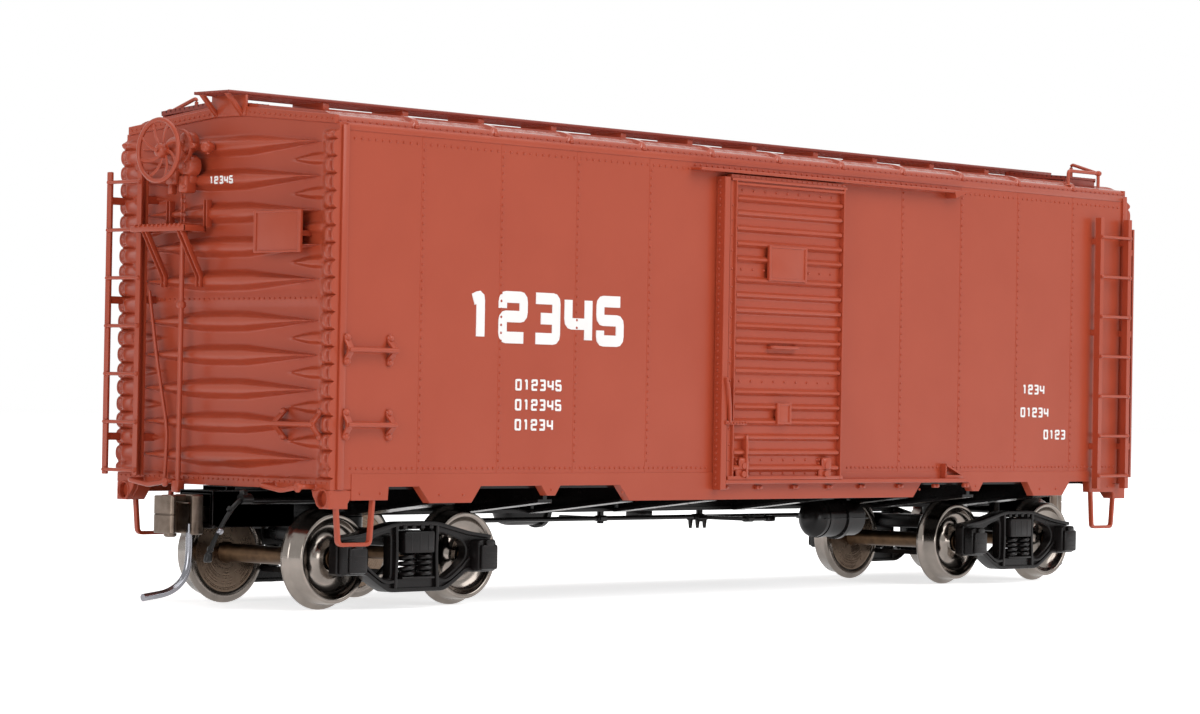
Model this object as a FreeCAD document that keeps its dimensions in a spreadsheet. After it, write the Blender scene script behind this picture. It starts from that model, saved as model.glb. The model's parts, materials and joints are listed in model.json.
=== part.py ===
"""HO scale model of a 40-foot steel boxcar, driven by one sheet of sizes.

Frame: X runs along the car with the brake end at -X, Y across it, Z up.
The origin is under the middle of the car, at the height on which the wheel
flanges stand.  All lengths are millimetres.  The car is the same after half
a turn about Z, apart from the hand brake and the air brake gear, so most
pieces are drawn once at the -X end or the -Y side and turned for the other.
"""
import FreeCAD
import Part
import math
import os
import Sketcher
from FreeCAD import Placement, Rotation, Vector

doc = FreeCAD.newDocument("boxcar")

# ---------------------------------------------------------------- the sheet
# alias, value, what it is
SIZES = [
    ("body_length", 141.0, "over the two end sheets"),
    ("body_width", 33.8, "over the two side sheets"),
    ("wall", 1.0, "thickness of sides and ends"),
    ("side_bottom", 13.2, "height of the shallow lower edge of a side"),
    ("side_top", 50.5, "height of a side's upper edge"),
    ("sill_depth", 1.75, "how far the side sill's deep parts reach down"),
    ("roof_inset", 0.45, "roof fascia inside the side sheet"),
    ("roof_fascia", 0.8, "height of the fascia"),
    ("roof_rise", 1.75, "rise of the roof from fascia to ridge"),
    ("roof_rib", 0.45, "height of a roof seam rib"),
    ("roof_rib_width", 0.9, "width of a roof seam rib"),
    ("roof_pitch", 11.83, "spacing of the roof seam ribs"),
    ("board_width", 5.5, "running board width"),
    ("board_thickness", 0.65, "running board thickness"),
    ("board_gap", 0.15, "running board above the ribs at the ridge"),
    ("board_overhang", 2.8, "running board past the end sheet"),
    ("floor_bottom", 12.9, "underside of the floor casting"),
    ("floor_thickness", 0.7, "floor casting"),
    ("weight_length", 116.0, "steel weight"),
    ("weight_width", 27.0, "steel weight"),
    ("weight_thickness", 1.8, "steel weight"),
    ("deck_thickness", 0.6, "planked deck"),
    ("doorway_width", 19.6, "clear width of a doorway"),
    ("doorway_top", 47.6, "upper edge of a doorway"),
    ("door_width", 20.9, "sliding door"),
    ("door_bottom", 13.75, "lower edge of the door"),
    ("door_top", 48.3, "upper edge of the door"),
    ("door_thickness", 0.8, "door panel"),
    ("door_gap", 0.25, "door panel off the side sheet"),
    ("door_rib", 0.3, "height of a rib on the door"),
    ("track_lip", 1.55, "outer face of the door tracks off the side sheet"),
    ("end_rib", 1.15, "height of a rib pressed in an end"),
    ("end_rib_pitch", 3.55, "spacing of the ribs in an end"),
    ("end_rib_length", 26.5, "length of a rib in an end"),
    ("truck_spacing", 107.9, "between the truck centres"),
    ("wheelbase", 19.4, "between the axles of a truck"),
    ("flange_radius", 5.45, "wheel over the flange"),
    ("tread_radius", 4.81, "wheel at the tread"),
    ("back_to_back", 14.44, "between the backs of two wheels"),
    ("wheel_width", 2.63, "wheel from back to face"),
    ("axle_radius", 1.0, "axle between the wheels"),
    ("axle_length", 25.8, "axle over its points"),
    ("axle_clearance", 0.1, "radial play of an axle in its bearing"),
    ("frame_inner", 10.4, "inner face of a truck side frame off the centre"),
    ("frame_thickness", 2.0, "truck side frame"),
    ("frame_top", 9.3, "upper edge of a truck side frame"),
    ("frame_bottom", 1.85, "lower edge of a truck side frame"),
    ("bolster_bottom", 5.95, "underside of the truck bolster's ends"),
    ("bolster_top", 8.4, "upper face of the truck bolster"),
    ("plate_radius", 2.6, "centre plate of a truck"),
    ("plate_top", 9.55, "upper face of the truck's centre plate"),
    ("screw_radius", 1.0, "truck screw"),
    ("screw_clearance", 0.08, "radial play of the truck on its screw"),
    ("center_sill_width", 3.7, "over the flanges of the centre sill"),
    ("center_sill_bottom", 9.6, "lower face of the centre sill"),
    ("coupler_height", 9.95, "middle height of the couplers"),
    ("box_overhang", 3.8, "draft gear box past the end sheet"),
    ("box_width", 5.2, "draft gear box"),
    ("box_wall", 0.4, "wall of a draft gear box"),
    ("coupler_setback", 5.1, "coupler pivot inside the end sheet"),
    ("knuckle_reach", 6.5, "knuckle pin past the end sheet"),
    ("knuckle_pivot_y", 0.9, "knuckle pin off the centreline"),
    ("ladder_width", 5.95, "between the stiles of a side ladder"),
    ("ladder_bottom", 12.3, "lower end of the ladders"),
    ("ladder_top", 47.4, "upper end of the ladders"),
    ("rung_pitch", 5.16, "spacing of the ladder rungs"),
    ("wire_radius", 0.28, "grab irons and rungs"),
    ("brake_wheel_radius", 3.25, "hand brake wheel"),
]

sheet = doc.addObject("Spreadsheet::Sheet", "Sizes")
for row, (alias, value, meaning) in enumerate(SIZES, start=1):
    sheet.set(f"A{row}", meaning)
    sheet.set(f"B{row}", str(value))
    sheet.setAlias(f"B{row}", alias)
doc.recompute()


class Size(float):
    """A length that remembers the sheet formula it was worked out with."""

    def __new__(cls, value, formula):
        size = super().__new__(cls, value)
        size.formula = formula
        return size

    def __add__(self, other):
        return Size(float(self) + float(other), f"({self.formula} + {formula_of(other)})")

    def __radd__(self, other):
        return Size(float(other) + float(self), f"({formula_of(other)} + {self.formula})")

    def __sub__(self, other):
        return Size(float(self) - float(other), f"({self.formula} - {formula_of(other)})")

    def __rsub__(self, other):
        return Size(float(other) - float(self), f"({formula_of(other)} - {self.formula})")

    def __mul__(self, factor):
        return Size(float(self) * float(factor), f"({self.formula} * {formula_of(factor)})")

    __rmul__ = __mul__

    def __truediv__(self, divisor):
        return Size(float(self) / float(divisor), f"({self.formula} / {formula_of(divisor)})")

    def __neg__(self):
        return Size(-float(self), f"(-1 * {self.formula})")


def formula_of(length):
    """The sheet formula of a Size, or a plain number's own text."""
    return getattr(length, "formula", f"({float(length):.6f})")


class Sheet:
    """Reads the sheet's cells as Size values, by their alias."""

    def __getattr__(self, alias):
        return Size(sheet.get(alias), f"Sizes.{alias}")


size = Sheet()


# ------------------------------------------------------------ small builders
def name_for(kind):
    """A fresh internal name for a helper object."""
    name_for.count += 1
    return f"{kind}_{name_for.count}"


name_for.count = 0
AXIS_TURN = {
    "x": Rotation(Vector(0, 1, 0), 90),
    "y": Rotation(Vector(1, 0, 0), -90),
    "z": Rotation(),
}
HALF_TURN = Rotation(Vector(0, 0, 1), 180)


def place(item, x, y, z):
    """Bind an object's position to the sheet."""
    for direction, length in (("x", x), ("y", y), ("z", z)):
        item.setExpression(f".Placement.Base.{direction}", formula_of(length))
    return item


def box(x, y, z):
    """A block between pairs of limits (low, high) along X, Y and Z."""
    item = doc.addObject("Part::Box", name_for("box"))
    for prop, (low, high) in (("Length", x), ("Width", y), ("Height", z)):
        item.setExpression(prop, f"{formula_of(high)} - {formula_of(low)}")
    return place(item, x[0], y[0], z[0])


def rod(axis, radius, start, length):
    """A round bar from the point start, along an axis."""
    item = doc.addObject("Part::Cylinder", name_for("rod"))
    item.setExpression("Radius", formula_of(radius))
    item.setExpression("Height", formula_of(length))
    item.Placement = Placement(Vector(), AXIS_TURN[axis])
    return place(item, *start)


def fuse(items):
    """One solid made of touching pieces."""
    joined = doc.addObject("Part::MultiFuse", name_for("joined"))
    joined.Shapes = items
    joined.Refine = True
    return joined


def cut(base, tool):
    """The base with the tool taken away."""
    item = doc.addObject("Part::Cut", name_for("cut"))
    item.Base = base
    item.Tool = tool
    return item


def group(items):
    """Several solids that stay apart."""
    item = doc.addObject("Part::Compound", name_for("group"))
    item.Links = items
    return item


def turned(item):
    """The item half a turn round the middle of the car."""
    holder = group([item])
    holder.Placement = Placement(Vector(), HALF_TURN)
    return holder


def both_ends(make):
    """A group of what make() builds and its half-turned copy."""
    return group([make(), turned(make())])


PLANES = {"XY": "XY_Plane", "XZ": "XZ_Plane", "YZ": "YZ_Plane"}


def new_body():
    """An empty body, ready for pads and pockets."""
    return doc.addObject("PartDesign::Body", name_for("body"))


def outline_sketch(body, plane, outline, offset):
    """A closed polygon on an origin plane of the body, moved along its normal.

    Every corner is held by two dimensions bound to the sheet.
    """
    sketch = body.newObject("Sketcher::SketchObject", name_for("sketch"))
    origin = body.Origin.OriginFeatures
    support = next(part for part in origin if part.Role == PLANES[plane])
    sketch.AttachmentSupport = [(support, "")]
    sketch.MapMode = "FlatFace"
    sketch.setExpression(".AttachmentOffset.Base.z", formula_of(offset))
    count = len(outline)
    corners = [Vector(float(a), float(b), 0) for a, b in outline]
    for index in range(count):
        line = Part.LineSegment(corners[index], corners[(index + 1) % count])
        sketch.addGeometry(line, False)
    for index in range(count):
        after = (index + 1) % count
        sketch.addConstraint(Sketcher.Constraint("Coincident", index, 2, after, 1))
    for index, (across, along) in enumerate(outline):
        for kind, length in (("DistanceX", across), ("DistanceY", along)):
            rule = Sketcher.Constraint(kind, -1, 1, index, 1, float(length))
            number = sketch.addConstraint(rule)
            if hasattr(length, "formula"):
                sketch.setExpression(f"Constraints[{number}]", length.formula)
    return sketch


def circle_sketch(body, plane, centre, radius, offset):
    """A circle on an origin plane of the body."""
    sketch = body.newObject("Sketcher::SketchObject", name_for("sketch"))
    origin = body.Origin.OriginFeatures
    support = next(part for part in origin if part.Role == PLANES[plane])
    sketch.AttachmentSupport = [(support, "")]
    sketch.MapMode = "FlatFace"
    sketch.setExpression(".AttachmentOffset.Base.z", formula_of(offset))
    middle = Vector(float(centre[0]), float(centre[1]), 0)
    sketch.addGeometry(Part.Circle(middle, Vector(0, 0, 1), float(radius)), False)
    rules = (("DistanceX", centre[0]), ("DistanceY", centre[1]))
    for kind, length in rules:
        number = sketch.addConstraint(Sketcher.Constraint(kind, -1, 1, 0, 3, float(length)))
        sketch.setExpression(f"Constraints[{number}]", formula_of(length))
    number = sketch.addConstraint(Sketcher.Constraint("Radius", 0, float(radius)))
    sketch.setExpression(f"Constraints[{number}]", formula_of(radius))
    return sketch


def extrude(body, sketch, plane, low, high, kind="Pad", taper=0):
    """Pad or pocket a sketch between two coordinates along its plane's normal.

    The XZ plane's normal points to -Y, so there the sketch lies at high.
    """
    feature = body.newObject(f"PartDesign::{kind}", name_for(kind.lower()))
    feature.Profile = sketch
    feature.setExpression("Length", formula_of(high - low))
    feature.TaperAngle = taper
    if kind == "Pocket":
        feature.Reversed = True
    body.Tip = feature
    return feature


def start_offset(plane, low, high):
    """Where along the plane's normal a sketch lies, so that it fills low to high."""
    return -high if plane == "XZ" else low


def add_plate(body, plane, outline, low, high, kind="Pad", taper=0):
    """Add (or cut) an extruded polygon between two coordinates."""
    sketch = outline_sketch(body, plane, outline, start_offset(plane, low, high))
    return extrude(body, sketch, plane, low, high, kind, taper)


def plate(plane, outline, low, high):
    """A body that is one extruded polygon."""
    body = new_body()
    add_plate(body, plane, outline, low, high)
    return body


def add_bore(body, plane, centre, radius, low, high, kind="Pocket"):
    """Cut (or add) a round hole between two coordinates."""
    sketch = circle_sketch(body, plane, centre, radius, start_offset(plane, low, high))
    return extrude(body, sketch, plane, low, high, kind)


def repeat(body, feature, direction, spacing, count):
    """A row of copies of a feature along X, Y or Z of the body."""
    pattern = body.newObject("PartDesign::LinearPattern", name_for("row"))
    pattern.Originals = [feature]
    origin = body.Origin.OriginFeatures
    axis = next(part for part in origin if part.Role == f"{direction}_Axis")
    pattern.Direction = (axis, [""])
    pattern.setExpression("Length", formula_of(spacing * (count - 1)))
    pattern.Occurrences = count
    body.Tip = pattern
    return pattern


def turned_profile(outline):
    """A solid of revolution about Y from (y, radius) corners."""
    body = new_body()
    sketch = outline_sketch(body, "YZ", outline, 0)
    feature = body.newObject("PartDesign::Revolution", name_for("turned"))
    feature.Profile = sketch
    axis = next(part for part in body.Origin.OriginFeatures if part.Role == "Y_Axis")
    feature.ReferenceAxis = (axis, [""])
    feature.Angle = 360
    body.Tip = feature
    return body


def wire_form(corners, radius, bend=0.5):
    """A bent round wire: straight runs with small arcs, swept by a circle."""
    points = [Vector(*(float(value) for value in corner)) for corner in corners]
    edges = []
    start = points[0]
    for before, corner, after in zip(points, points[1:], points[2:]):
        run_in = (before - corner).normalize()
        run_out = (after - corner).normalize()
        turn = math.pi - run_in.getAngle(run_out)
        setback = min(bend * math.tan(turn / 2), 0.45 * (corner - before).Length,
                      0.45 * (after - corner).Length)
        first = corner + run_in * setback
        last = corner + run_out * setback
        half = (run_in + run_out).normalize()
        inset = setback * math.tan(turn / 4)
        edges.append(Part.LineSegment(start, first).toShape())
        edges.append(Part.Arc(first, corner + half * inset, last).toShape())
        start = last
    edges.append(Part.LineSegment(start, points[-1]).toShape())
    path = Part.Wire(edges)
    heading = points[1] - points[0]
    circle = Part.Wire([Part.Circle(points[0], heading, float(radius)).toShape()])
    item = doc.addObject("Part::Feature", name_for("wire"))
    item.Shape = path.makePipeShell([circle], True, False)
    return item


SUBPARTS = []


def subpart(label, item, turn=False):
    """Give a finished piece its label, and its half turn where it has one."""
    item.Label = label
    if turn:
        item.Placement = Placement(Vector(), HALF_TURN)
    SUBPARTS.append(item)
    return item


# ------------------------------------------------------------- shared places
half_length = size.body_length / 2
half_width = size.body_width / 2
half_roof = half_width - size.roof_inset
floor_top = size.floor_bottom + size.floor_thickness
deck_bottom = floor_top + size.weight_thickness
deck_top = deck_bottom + size.deck_thickness
eave_top = size.side_top + size.roof_fascia
ridge = eave_top + size.roof_rise
rib_ridge = ridge + size.roof_rib
board_bottom = rib_ridge + size.board_gap
board_top = board_bottom + size.board_thickness
board_end = half_length + size.board_overhang
axle_height = size.flange_radius
truck_x = size.truck_spacing / 2
half_base = size.wheelbase / 2
outer_bearer = truck_x - 15.75
coupler_pivot = half_length - size.coupler_setback
box_front = half_length + size.box_overhang
top_rib = size.side_bottom + 2.8 + size.end_rib_pitch * 9.2
sill_bottom = size.side_bottom - size.sill_depth
tab_depth = size.sill_depth * 0.62


# -------------------------------------------------------------- body panels
def side():
    """A side: sheet with the tabbed sill, the doorway, its posts and header."""
    inner = half_length - size.wall
    shallow = size.side_bottom
    small_tab = size.side_bottom - tab_depth
    # one half of the lower edge, from the middle out: (x, z)
    lower = [(25.7, sill_bottom), (27.3, shallow),
             (outer_bearer - 1.3, shallow), (outer_bearer - 0.5, small_tab),
             (outer_bearer + 0.8, small_tab), (outer_bearer + 1.7, shallow),
             (truck_x - 4.75, shallow), (truck_x - 3.35, sill_bottom),
             (truck_x + 2.85, sill_bottom), (truck_x + 4.45, shallow),
             (half_length - 7.7, shallow), (half_length - 7.6, small_tab - 0.3),
             (half_length - 2.4, small_tab - 0.3), (half_length - 2.4, size.floor_bottom),
             (inner, size.floor_bottom)]
    outline = [(x, z) for x, z in lower]
    outline += [(inner, size.side_top), (-inner, size.side_top)]
    outline += [(-x, z) for x, z in reversed(lower)]
    body = new_body()
    add_plate(body, "XZ", outline, -half_width, -half_width + size.wall)
    half_door = size.doorway_width / 2
    doorway = [(-half_door, deck_top), (half_door, deck_top),
               (half_door, size.doorway_top), (-half_door, size.doorway_top)]
    add_plate(body, "XZ", doorway, -half_width - 1, -half_width + size.wall + 1, "Pocket")
    half_leaf = size.door_width / 2
    post = [(-half_leaf - 1.7, size.door_bottom - 0.2), (-half_leaf - 0.15, size.door_bottom - 0.2),
            (-half_leaf - 0.15, size.door_top - 0.35), (-half_leaf - 1.7, size.door_top - 0.35)]
    add_plate(body, "XZ", post, -half_width - 0.6, -half_width)
    return body


def end():
    """A corrugated end with its gable, ribs and the flanges round the corners."""
    face = -half_length
    underside = size.side_top + size.roof_rise - 0.2
    outline = [(-half_width, size.floor_bottom), (half_width, size.floor_bottom),
               (half_width, size.side_top), (half_roof - 1.25, size.side_top),
               (0, underside), (-half_roof + 1.25, size.side_top),
               (-half_width, size.side_top)]
    body = new_body()
    add_plate(body, "YZ", outline, face, face + size.wall)
    half_rib = size.end_rib_length / 2
    low = size.side_bottom + 2.8
    # lowest rib of the lower and the upper panel
    for middle in (low, low + size.end_rib_pitch * 5.2):
        rib = [(-half_rib, middle - 0.35), (-half_rib * 0.55, middle - 1.25),
               (half_rib * 0.55, middle - 1.25), (half_rib, middle - 0.35),
               (half_rib, middle + 0.35), (half_rib * 0.55, middle + 1.25),
               (-half_rib * 0.55, middle + 1.25), (-half_rib, middle + 0.35)]
        sketch = outline_sketch(body, "YZ", rib, face)
        feature = extrude(body, sketch, "YZ", 0, size.end_rib, "Pad", -25)
        feature.Reversed = True
        repeat(body, feature, "Z", size.end_rib_pitch, 5)
    for out in (-1, 1):
        low_y, high_y = sorted((out * half_width, out * (half_width + 0.25)), key=float)
        flange = [(low_y, size.floor_bottom), (high_y, size.floor_bottom),
                  (high_y, size.side_top - 0.2), (low_y, size.side_top - 0.2)]
        add_plate(body, "YZ", flange, face, face + 1.7)
    return body


def roof():
    """The roof: a thin gable with fascias and its raised seam ribs."""
    outline = [(-half_roof, size.side_top), (-half_roof + 1.25, size.side_top),
               (0, size.side_top + size.roof_rise - 0.2),
               (half_roof - 1.25, size.side_top), (half_roof, size.side_top),
               (half_roof, eave_top), (0, ridge), (-half_roof, eave_top)]
    body = new_body()
    add_plate(body, "YZ", outline, -half_length, half_length)
    shoulder = half_roof - 2.2
    slope = size.roof_rise / half_roof
    shoulder_top = rib_ridge - slope * shoulder
    rib = [(-half_roof + 0.2, eave_top - 0.3), (half_roof - 0.2, eave_top - 0.3),
           (half_roof - 0.2, eave_top + 0.02), (shoulder, shoulder_top), (0, rib_ridge),
           (-shoulder, shoulder_top), (-half_roof + 0.2, eave_top + 0.02)]
    first = -5 * size.roof_pitch - size.roof_rib_width / 2
    feature = add_plate(body, "YZ", rib, first, first + size.roof_rib_width)
    repeat(body, feature, "X", size.roof_pitch, 11)
    return body


subpart("side_right", side())
subpart("side_left", side(), turn=True)
subpart("end_brake", end())
subpart("end_plain", end(), turn=True)
subpart("roof", roof())

inside_x = half_length - size.wall
inside_y = half_width - size.wall
subpart("floor", box((-inside_x, inside_x), (-inside_y, inside_y),
                     (size.floor_bottom, floor_top)))
half_weight = size.weight_length / 2
half_weight_y = size.weight_width / 2
subpart("steel_weight", box((-half_weight, half_weight), (-half_weight_y, half_weight_y),
                            (floor_top, deck_bottom)))
subpart("floor_deck", box((-inside_x, inside_x), (-inside_y, inside_y),
                          (deck_bottom, deck_top)))


# -------------------------------------------------- what stands on the roof
half_board = size.board_width / 2
roof_slope = size.roof_rise / half_roof
bracket_foot = size.side_top + 0.4


def roof_at(y):
    """Height of the roof sheet at a distance y from the ridge."""
    return ridge - roof_slope * y


def saddle(number):
    """One of the saddles that carry the running board on a seam rib."""
    outer = rib_ridge - roof_slope * half_board
    outline = [(-half_board, outer), (0, rib_ridge), (half_board, outer),
               (half_board, board_bottom), (-half_board, board_bottom)]
    middle = size.roof_pitch * number
    return plate("YZ", outline, middle - 0.25, middle + 0.25)


def board_bracket():
    """The bracket under a running board's end: a back plate and two struts."""
    back = -half_length - 0.3
    pieces = [box((back, -half_length), (-half_board + 0.3, half_board - 0.3),
                  (bracket_foot, board_bottom))]
    strut = [(0.25 - board_end, board_bottom), (0.85 - board_end, board_bottom),
             (back, bracket_foot + 0.6), (back, bracket_foot)]
    for low in (-half_board + 0.3, half_board - 0.8):
        pieces.append(plate("XZ", strut, low, low + 0.5))
    return fuse(pieces)


def lateral_board():
    """The short board beside the running board, over a corner, on two cleats."""
    lift = board_bottom - ridge
    inner = half_board + 0.1
    outer = half_roof - 0.25
    outline = [(-outer, roof_at(outer) + lift), (-inner, roof_at(inner) + lift),
               (-inner, roof_at(inner) + lift + 0.4), (-outer, roof_at(outer) + lift + 0.4)]
    near, far = half_length - 7.9, half_length - 1.2
    pieces = [plate("YZ", outline, near, far)]
    for y in (8.3, 14.8):
        cleat = [(-y - 0.5, roof_at(y + 0.5)), (-y, roof_at(y)),
                 (-y, roof_at(y) + lift), (-y - 0.5, roof_at(y + 0.5) + lift)]
        pieces.append(plate("YZ", cleat, near, far))
    return fuse(pieces)


def corner_grab():
    """The bent grab iron over a lateral board, with its leg at the corner."""
    x_inner, x_outer = half_length - 11.9, half_length - 5.2
    y_outer, y_inner = half_roof - 0.55, half_roof - 7.25
    top = roof_at(y_outer) + 1.8
    lift = board_bottom - ridge + 0.4
    wire = wire_form([(x_inner, -y_outer, roof_at(y_outer) + 0.04), (x_inner, -y_outer, top),
                      (x_outer, -y_outer, top), (x_outer, -y_inner, top + 0.7),
                      (x_outer, -y_inner, roof_at(y_inner) + lift + 0.04)], size.wire_radius)
    leg = rod("z", size.wire_radius * 1.25, (x_outer, -y_outer, roof_at(y_outer) + lift + 0.04),
              top - roof_at(y_outer) - lift + 0.26)
    return fuse([wire, leg])


subpart("running_board", box((-board_end, board_end), (-half_board, half_board),
                             (board_bottom, board_top)))
saddles = [saddle(number) for number in range(-5, 6)]
subpart("running_board_supports", group(saddles + [both_ends(board_bracket)]))
subpart("lateral_boards", both_ends(lateral_board))


# ----------------------------------------------- grab irons, ladders, steps
side_face = -half_width
flange_face = side_face - 0.25
end_face = -half_length
low_rib = size.side_bottom + 2.8
end_seam = low_rib + size.end_rib_pitch * 4.65


def side_grab(height):
    """A straight grab iron at the left of a side, bent back to its feet."""
    out = side_face - 1.0
    near, far = end_face + 1.2, end_face + 7.5
    return wire_form([(near, flange_face, height), (near, out, height),
                      (far, out, height), (far, side_face, height)], size.wire_radius)


def end_grab(y_near, y_far, height):
    """A straight grab iron across an end, whose inner foot stands on a rib."""
    out = end_face - size.end_rib - 0.65
    return wire_form([(end_face, y_near, height), (out, y_near, height),
                      (out, y_far, height), (end_face - size.end_rib, y_far, height)],
                     size.wire_radius)


def ladder(stiles, rungs_at, back, front, foot, head, leg):
    """A ladder along X: two angle-iron stiles from foot to head, and its rungs.

    back and front are the Y limits of the stiles, and the sheet behind them
    lies at wall, at the greater Y.  A stile is (x of its web, wall): the web
    runs from front to back, and a leg as wide as leg lies along the front.
    """
    pieces = []
    for x, wall in stiles:
        pieces.append(box((x, x + 0.25), (front, back), (foot, head)))
        pieces.append(box((x, x + leg), (front, front + 0.25), (foot, head)))
        for z in (low_rib + size.end_rib_pitch * 0.5, end_seam, head - 3.1):
            pieces.append(box((x, x + 0.4), (back - 0.1, wall), (z - 0.3, z + 0.3)))
    start, end_x = stiles[0][0] + 0.1, stiles[1][0] + leg / 2
    middle = (back + front) / 2 - 0.1
    for z in rungs_at:
        pieces.append(rod("x", size.wire_radius * 0.8, (start, middle, z), end_x - start))
    return fuse(pieces)


def side_ladder():
    """The ladder at the right end of a side."""
    rungs = [size.ladder_bottom + 1.66 + size.rung_pitch * step for step in range(7)]
    stiles = [(half_length - 2.2 - size.ladder_width, side_face),
              (half_length - 2.2, side_face)]
    return ladder(stiles, rungs, side_face - 0.55, side_face - 1.4,
                  size.ladder_bottom, size.ladder_top, 1.5)


def end_ladder():
    """The ladder at the left of an end, built along X and turned to face -X."""
    bottom = size.side_bottom + 0.5
    rungs = [bottom + 0.5 + size.rung_pitch * step for step in range(7)]
    stiles = [(-0.05 - half_width, 0), (5.2 - half_width, 0)]
    item = ladder(stiles, rungs, -1.75, -2.6, bottom, size.ladder_top - 1.1, 0.9)
    item.Placement = Placement(Vector(), Rotation(Vector(0, 0, 1), -90))
    item.setExpression(".Placement.Base.x", formula_of(end_face))
    return item


def sill_step(outer, inner):
    """A stirrup step: a flat bar bent to a U, below a corner of the side."""
    bar = 0.45
    lean = math.copysign(0.5, float(inner - outer))
    side_way = math.copysign(bar, float(inner - outer))
    top_outer, top_inner = size.side_bottom - 2.25, size.side_bottom - 1.4
    foot = size.side_bottom - 6.15
    outline = [(outer, top_outer), (outer + lean, foot), (inner - lean, foot),
               (inner, top_inner), (inner - side_way, top_inner),
               (inner - lean - side_way, foot + bar), (outer + lean + side_way, foot + bar),
               (outer + side_way, top_outer)]
    return plate("XZ", outline, side_face + 0.05, side_face + 0.6)


def corner_casting(out):
    """The casting under a corner of the end, with its poling pocket."""
    front, back = end_face - 0.6, end_face + 2.3
    low_y, high_y = sorted((out * half_width, out * (half_width - 2.8)), key=float)
    outline = [(front, low_y), (back, low_y), (back, high_y), (front, high_y)]
    body = new_body()
    add_plate(body, "XY", outline, size.side_bottom - 2.25, size.floor_bottom)
    add_bore(body, "YZ", (out * (half_width - 1.4), size.side_bottom - 1.2), 0.75,
             front - 0.1, front + 0.5)
    return body


def brake_end_steps():
    """The two sill steps at the brake end's right and the plain end's left."""
    return group([sill_step(-half_length + 0.4, -half_length + 6.0),
                  sill_step(half_length - 1.6, half_length - 7.1)])


def corner_grabs_and_side_grabs():
    """The grab irons of one side, one corner of the roof and one end."""
    return group([side_grab(27.3), side_grab(19.6), corner_grab(),
                  end_grab(-15.3, -9.5, low_rib + size.end_rib_pitch)])


subpart("grab_irons", both_ends(corner_grabs_and_side_grabs))
subpart("ladders", both_ends(lambda: group([side_ladder(), end_ladder()])))
subpart("sill_steps", both_ends(brake_end_steps))
subpart("corner_castings", both_ends(lambda: group([corner_casting(-1), corner_casting(1)])))


# --------------------------------------------------------------- hand brake
wheel_x, wheel_y, wheel_z = end_face - 4.5, 6.3, top_rib - 0.51
rib_face = end_face - size.end_rib


def brake_wheel():
    """The hand brake wheel: a rim, five spokes and a hub."""
    radius = size.brake_wheel_radius
    rim = doc.addObject("Part::Torus", name_for("rim"))
    rim.setExpression("Radius1", formula_of(radius))
    rim.Radius2 = 0.22
    rim.Placement = Placement(Vector(), AXIS_TURN["x"])
    place(rim, wheel_x, wheel_y, wheel_z)
    pieces = [rim, rod("x", 0.55, (wheel_x - 0.2, wheel_y, wheel_z), 0.9)]
    for number in range(5):
        spoke = doc.addObject("Part::Cylinder", name_for("spoke"))
        spoke.Radius = 0.14
        spoke.setExpression("Height", formula_of(radius))
        angle = 90 + 72 * number
        spoke.Placement = Placement(Vector(), Rotation(Vector(1, 0, 0), angle))
        pieces.append(place(spoke, wheel_x, wheel_y, wheel_z))
    return fuse(pieces)


def brake_housing():
    """The gear housing behind the wheel, with its shaft."""
    back = rib_face
    front = end_face - 3.3
    outline = [(wheel_y - 2.4, wheel_z - 4.6), (wheel_y + 1.6, wheel_z - 4.6),
               (wheel_y + 1.9, wheel_z - 0.4), (wheel_y + 1.0, wheel_z + 1.6),
               (wheel_y - 1.4, wheel_z + 1.6), (wheel_y - 2.7, wheel_z - 0.2)]
    case = plate("YZ", outline, front, back)
    return fuse([case, rod("x", 0.4, (wheel_x + 0.7, wheel_y, wheel_z), front - wheel_x - 0.6)])


def brake_step():
    """The platform below the hand brake, on two bent braces."""
    step_z = top_rib - 8.86
    outer = end_face - 4.3
    deck = box((outer, rib_face), (2.3, 10.65), (step_z, step_z + 0.45))
    hole = rod("z", 0.55, (end_face - 1.9, 5.3, step_z - 1), 4)
    pieces = [cut(deck, hole)]
    brace = [(outer + 0.2, step_z), (outer + 0.7, step_z), (rib_face, step_z - 4.4),
             (rib_face, step_z - 6.0), (rib_face - 0.4, step_z - 6.0),
             (rib_face - 0.4, step_z - 4.6)]
    for y in (2.9, 8.6):
        pieces.append(plate("XZ", brace, y, y + 0.45))
    return fuse(pieces)


def retainer():
    """The retainer valve by the brake and its pipe down the end."""
    valve = rod("x", 0.6, (rib_face - 1.5, 1.3, wheel_z + 0.3), 1.5)
    x = rib_face - 0.22
    pipe = wire_form([(x, 10.2, end_seam + 0.9), (x, 9.3, end_seam - 6.5),
                      (x, 7.7, end_seam - 14.0), (x, 8.0, size.side_bottom)], 0.22)
    return group([valve, pipe])


subpart("brake_wheel", brake_wheel())
subpart("brake_housing", brake_housing())
subpart("brake_step", brake_step())
subpart("brake_rod", rod("z", 0.33, (end_face - 1.9, 5.3, size.floor_bottom - 0.9),
                         wheel_z - 4.6 - size.floor_bottom + 0.9))
subpart("retainer_valve", retainer())


def placard_board():
    """The tack board that stands off an end, on a post."""
    z = end_seam + 4.7
    board = box((end_face - 1.9, end_face - 1.5), (-13.2, -6.0), (z, z + 4.4))
    post = box((end_face - 1.5, end_face), (-10.2, -9.2), (z + 2.2, z + 2.9))
    return fuse([board, post])


subpart("placard_boards", both_ends(placard_board))


# -------------------------------------------------------------- side doors
half_leaf = size.door_width / 2
door_back = side_face - size.door_gap
door_front = door_back - size.door_thickness
door_skin = door_front - size.door_rib
lip_face = side_face - size.track_lip
door_travel = 20.5
stop_x = half_leaf + door_travel + 0.35


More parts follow.
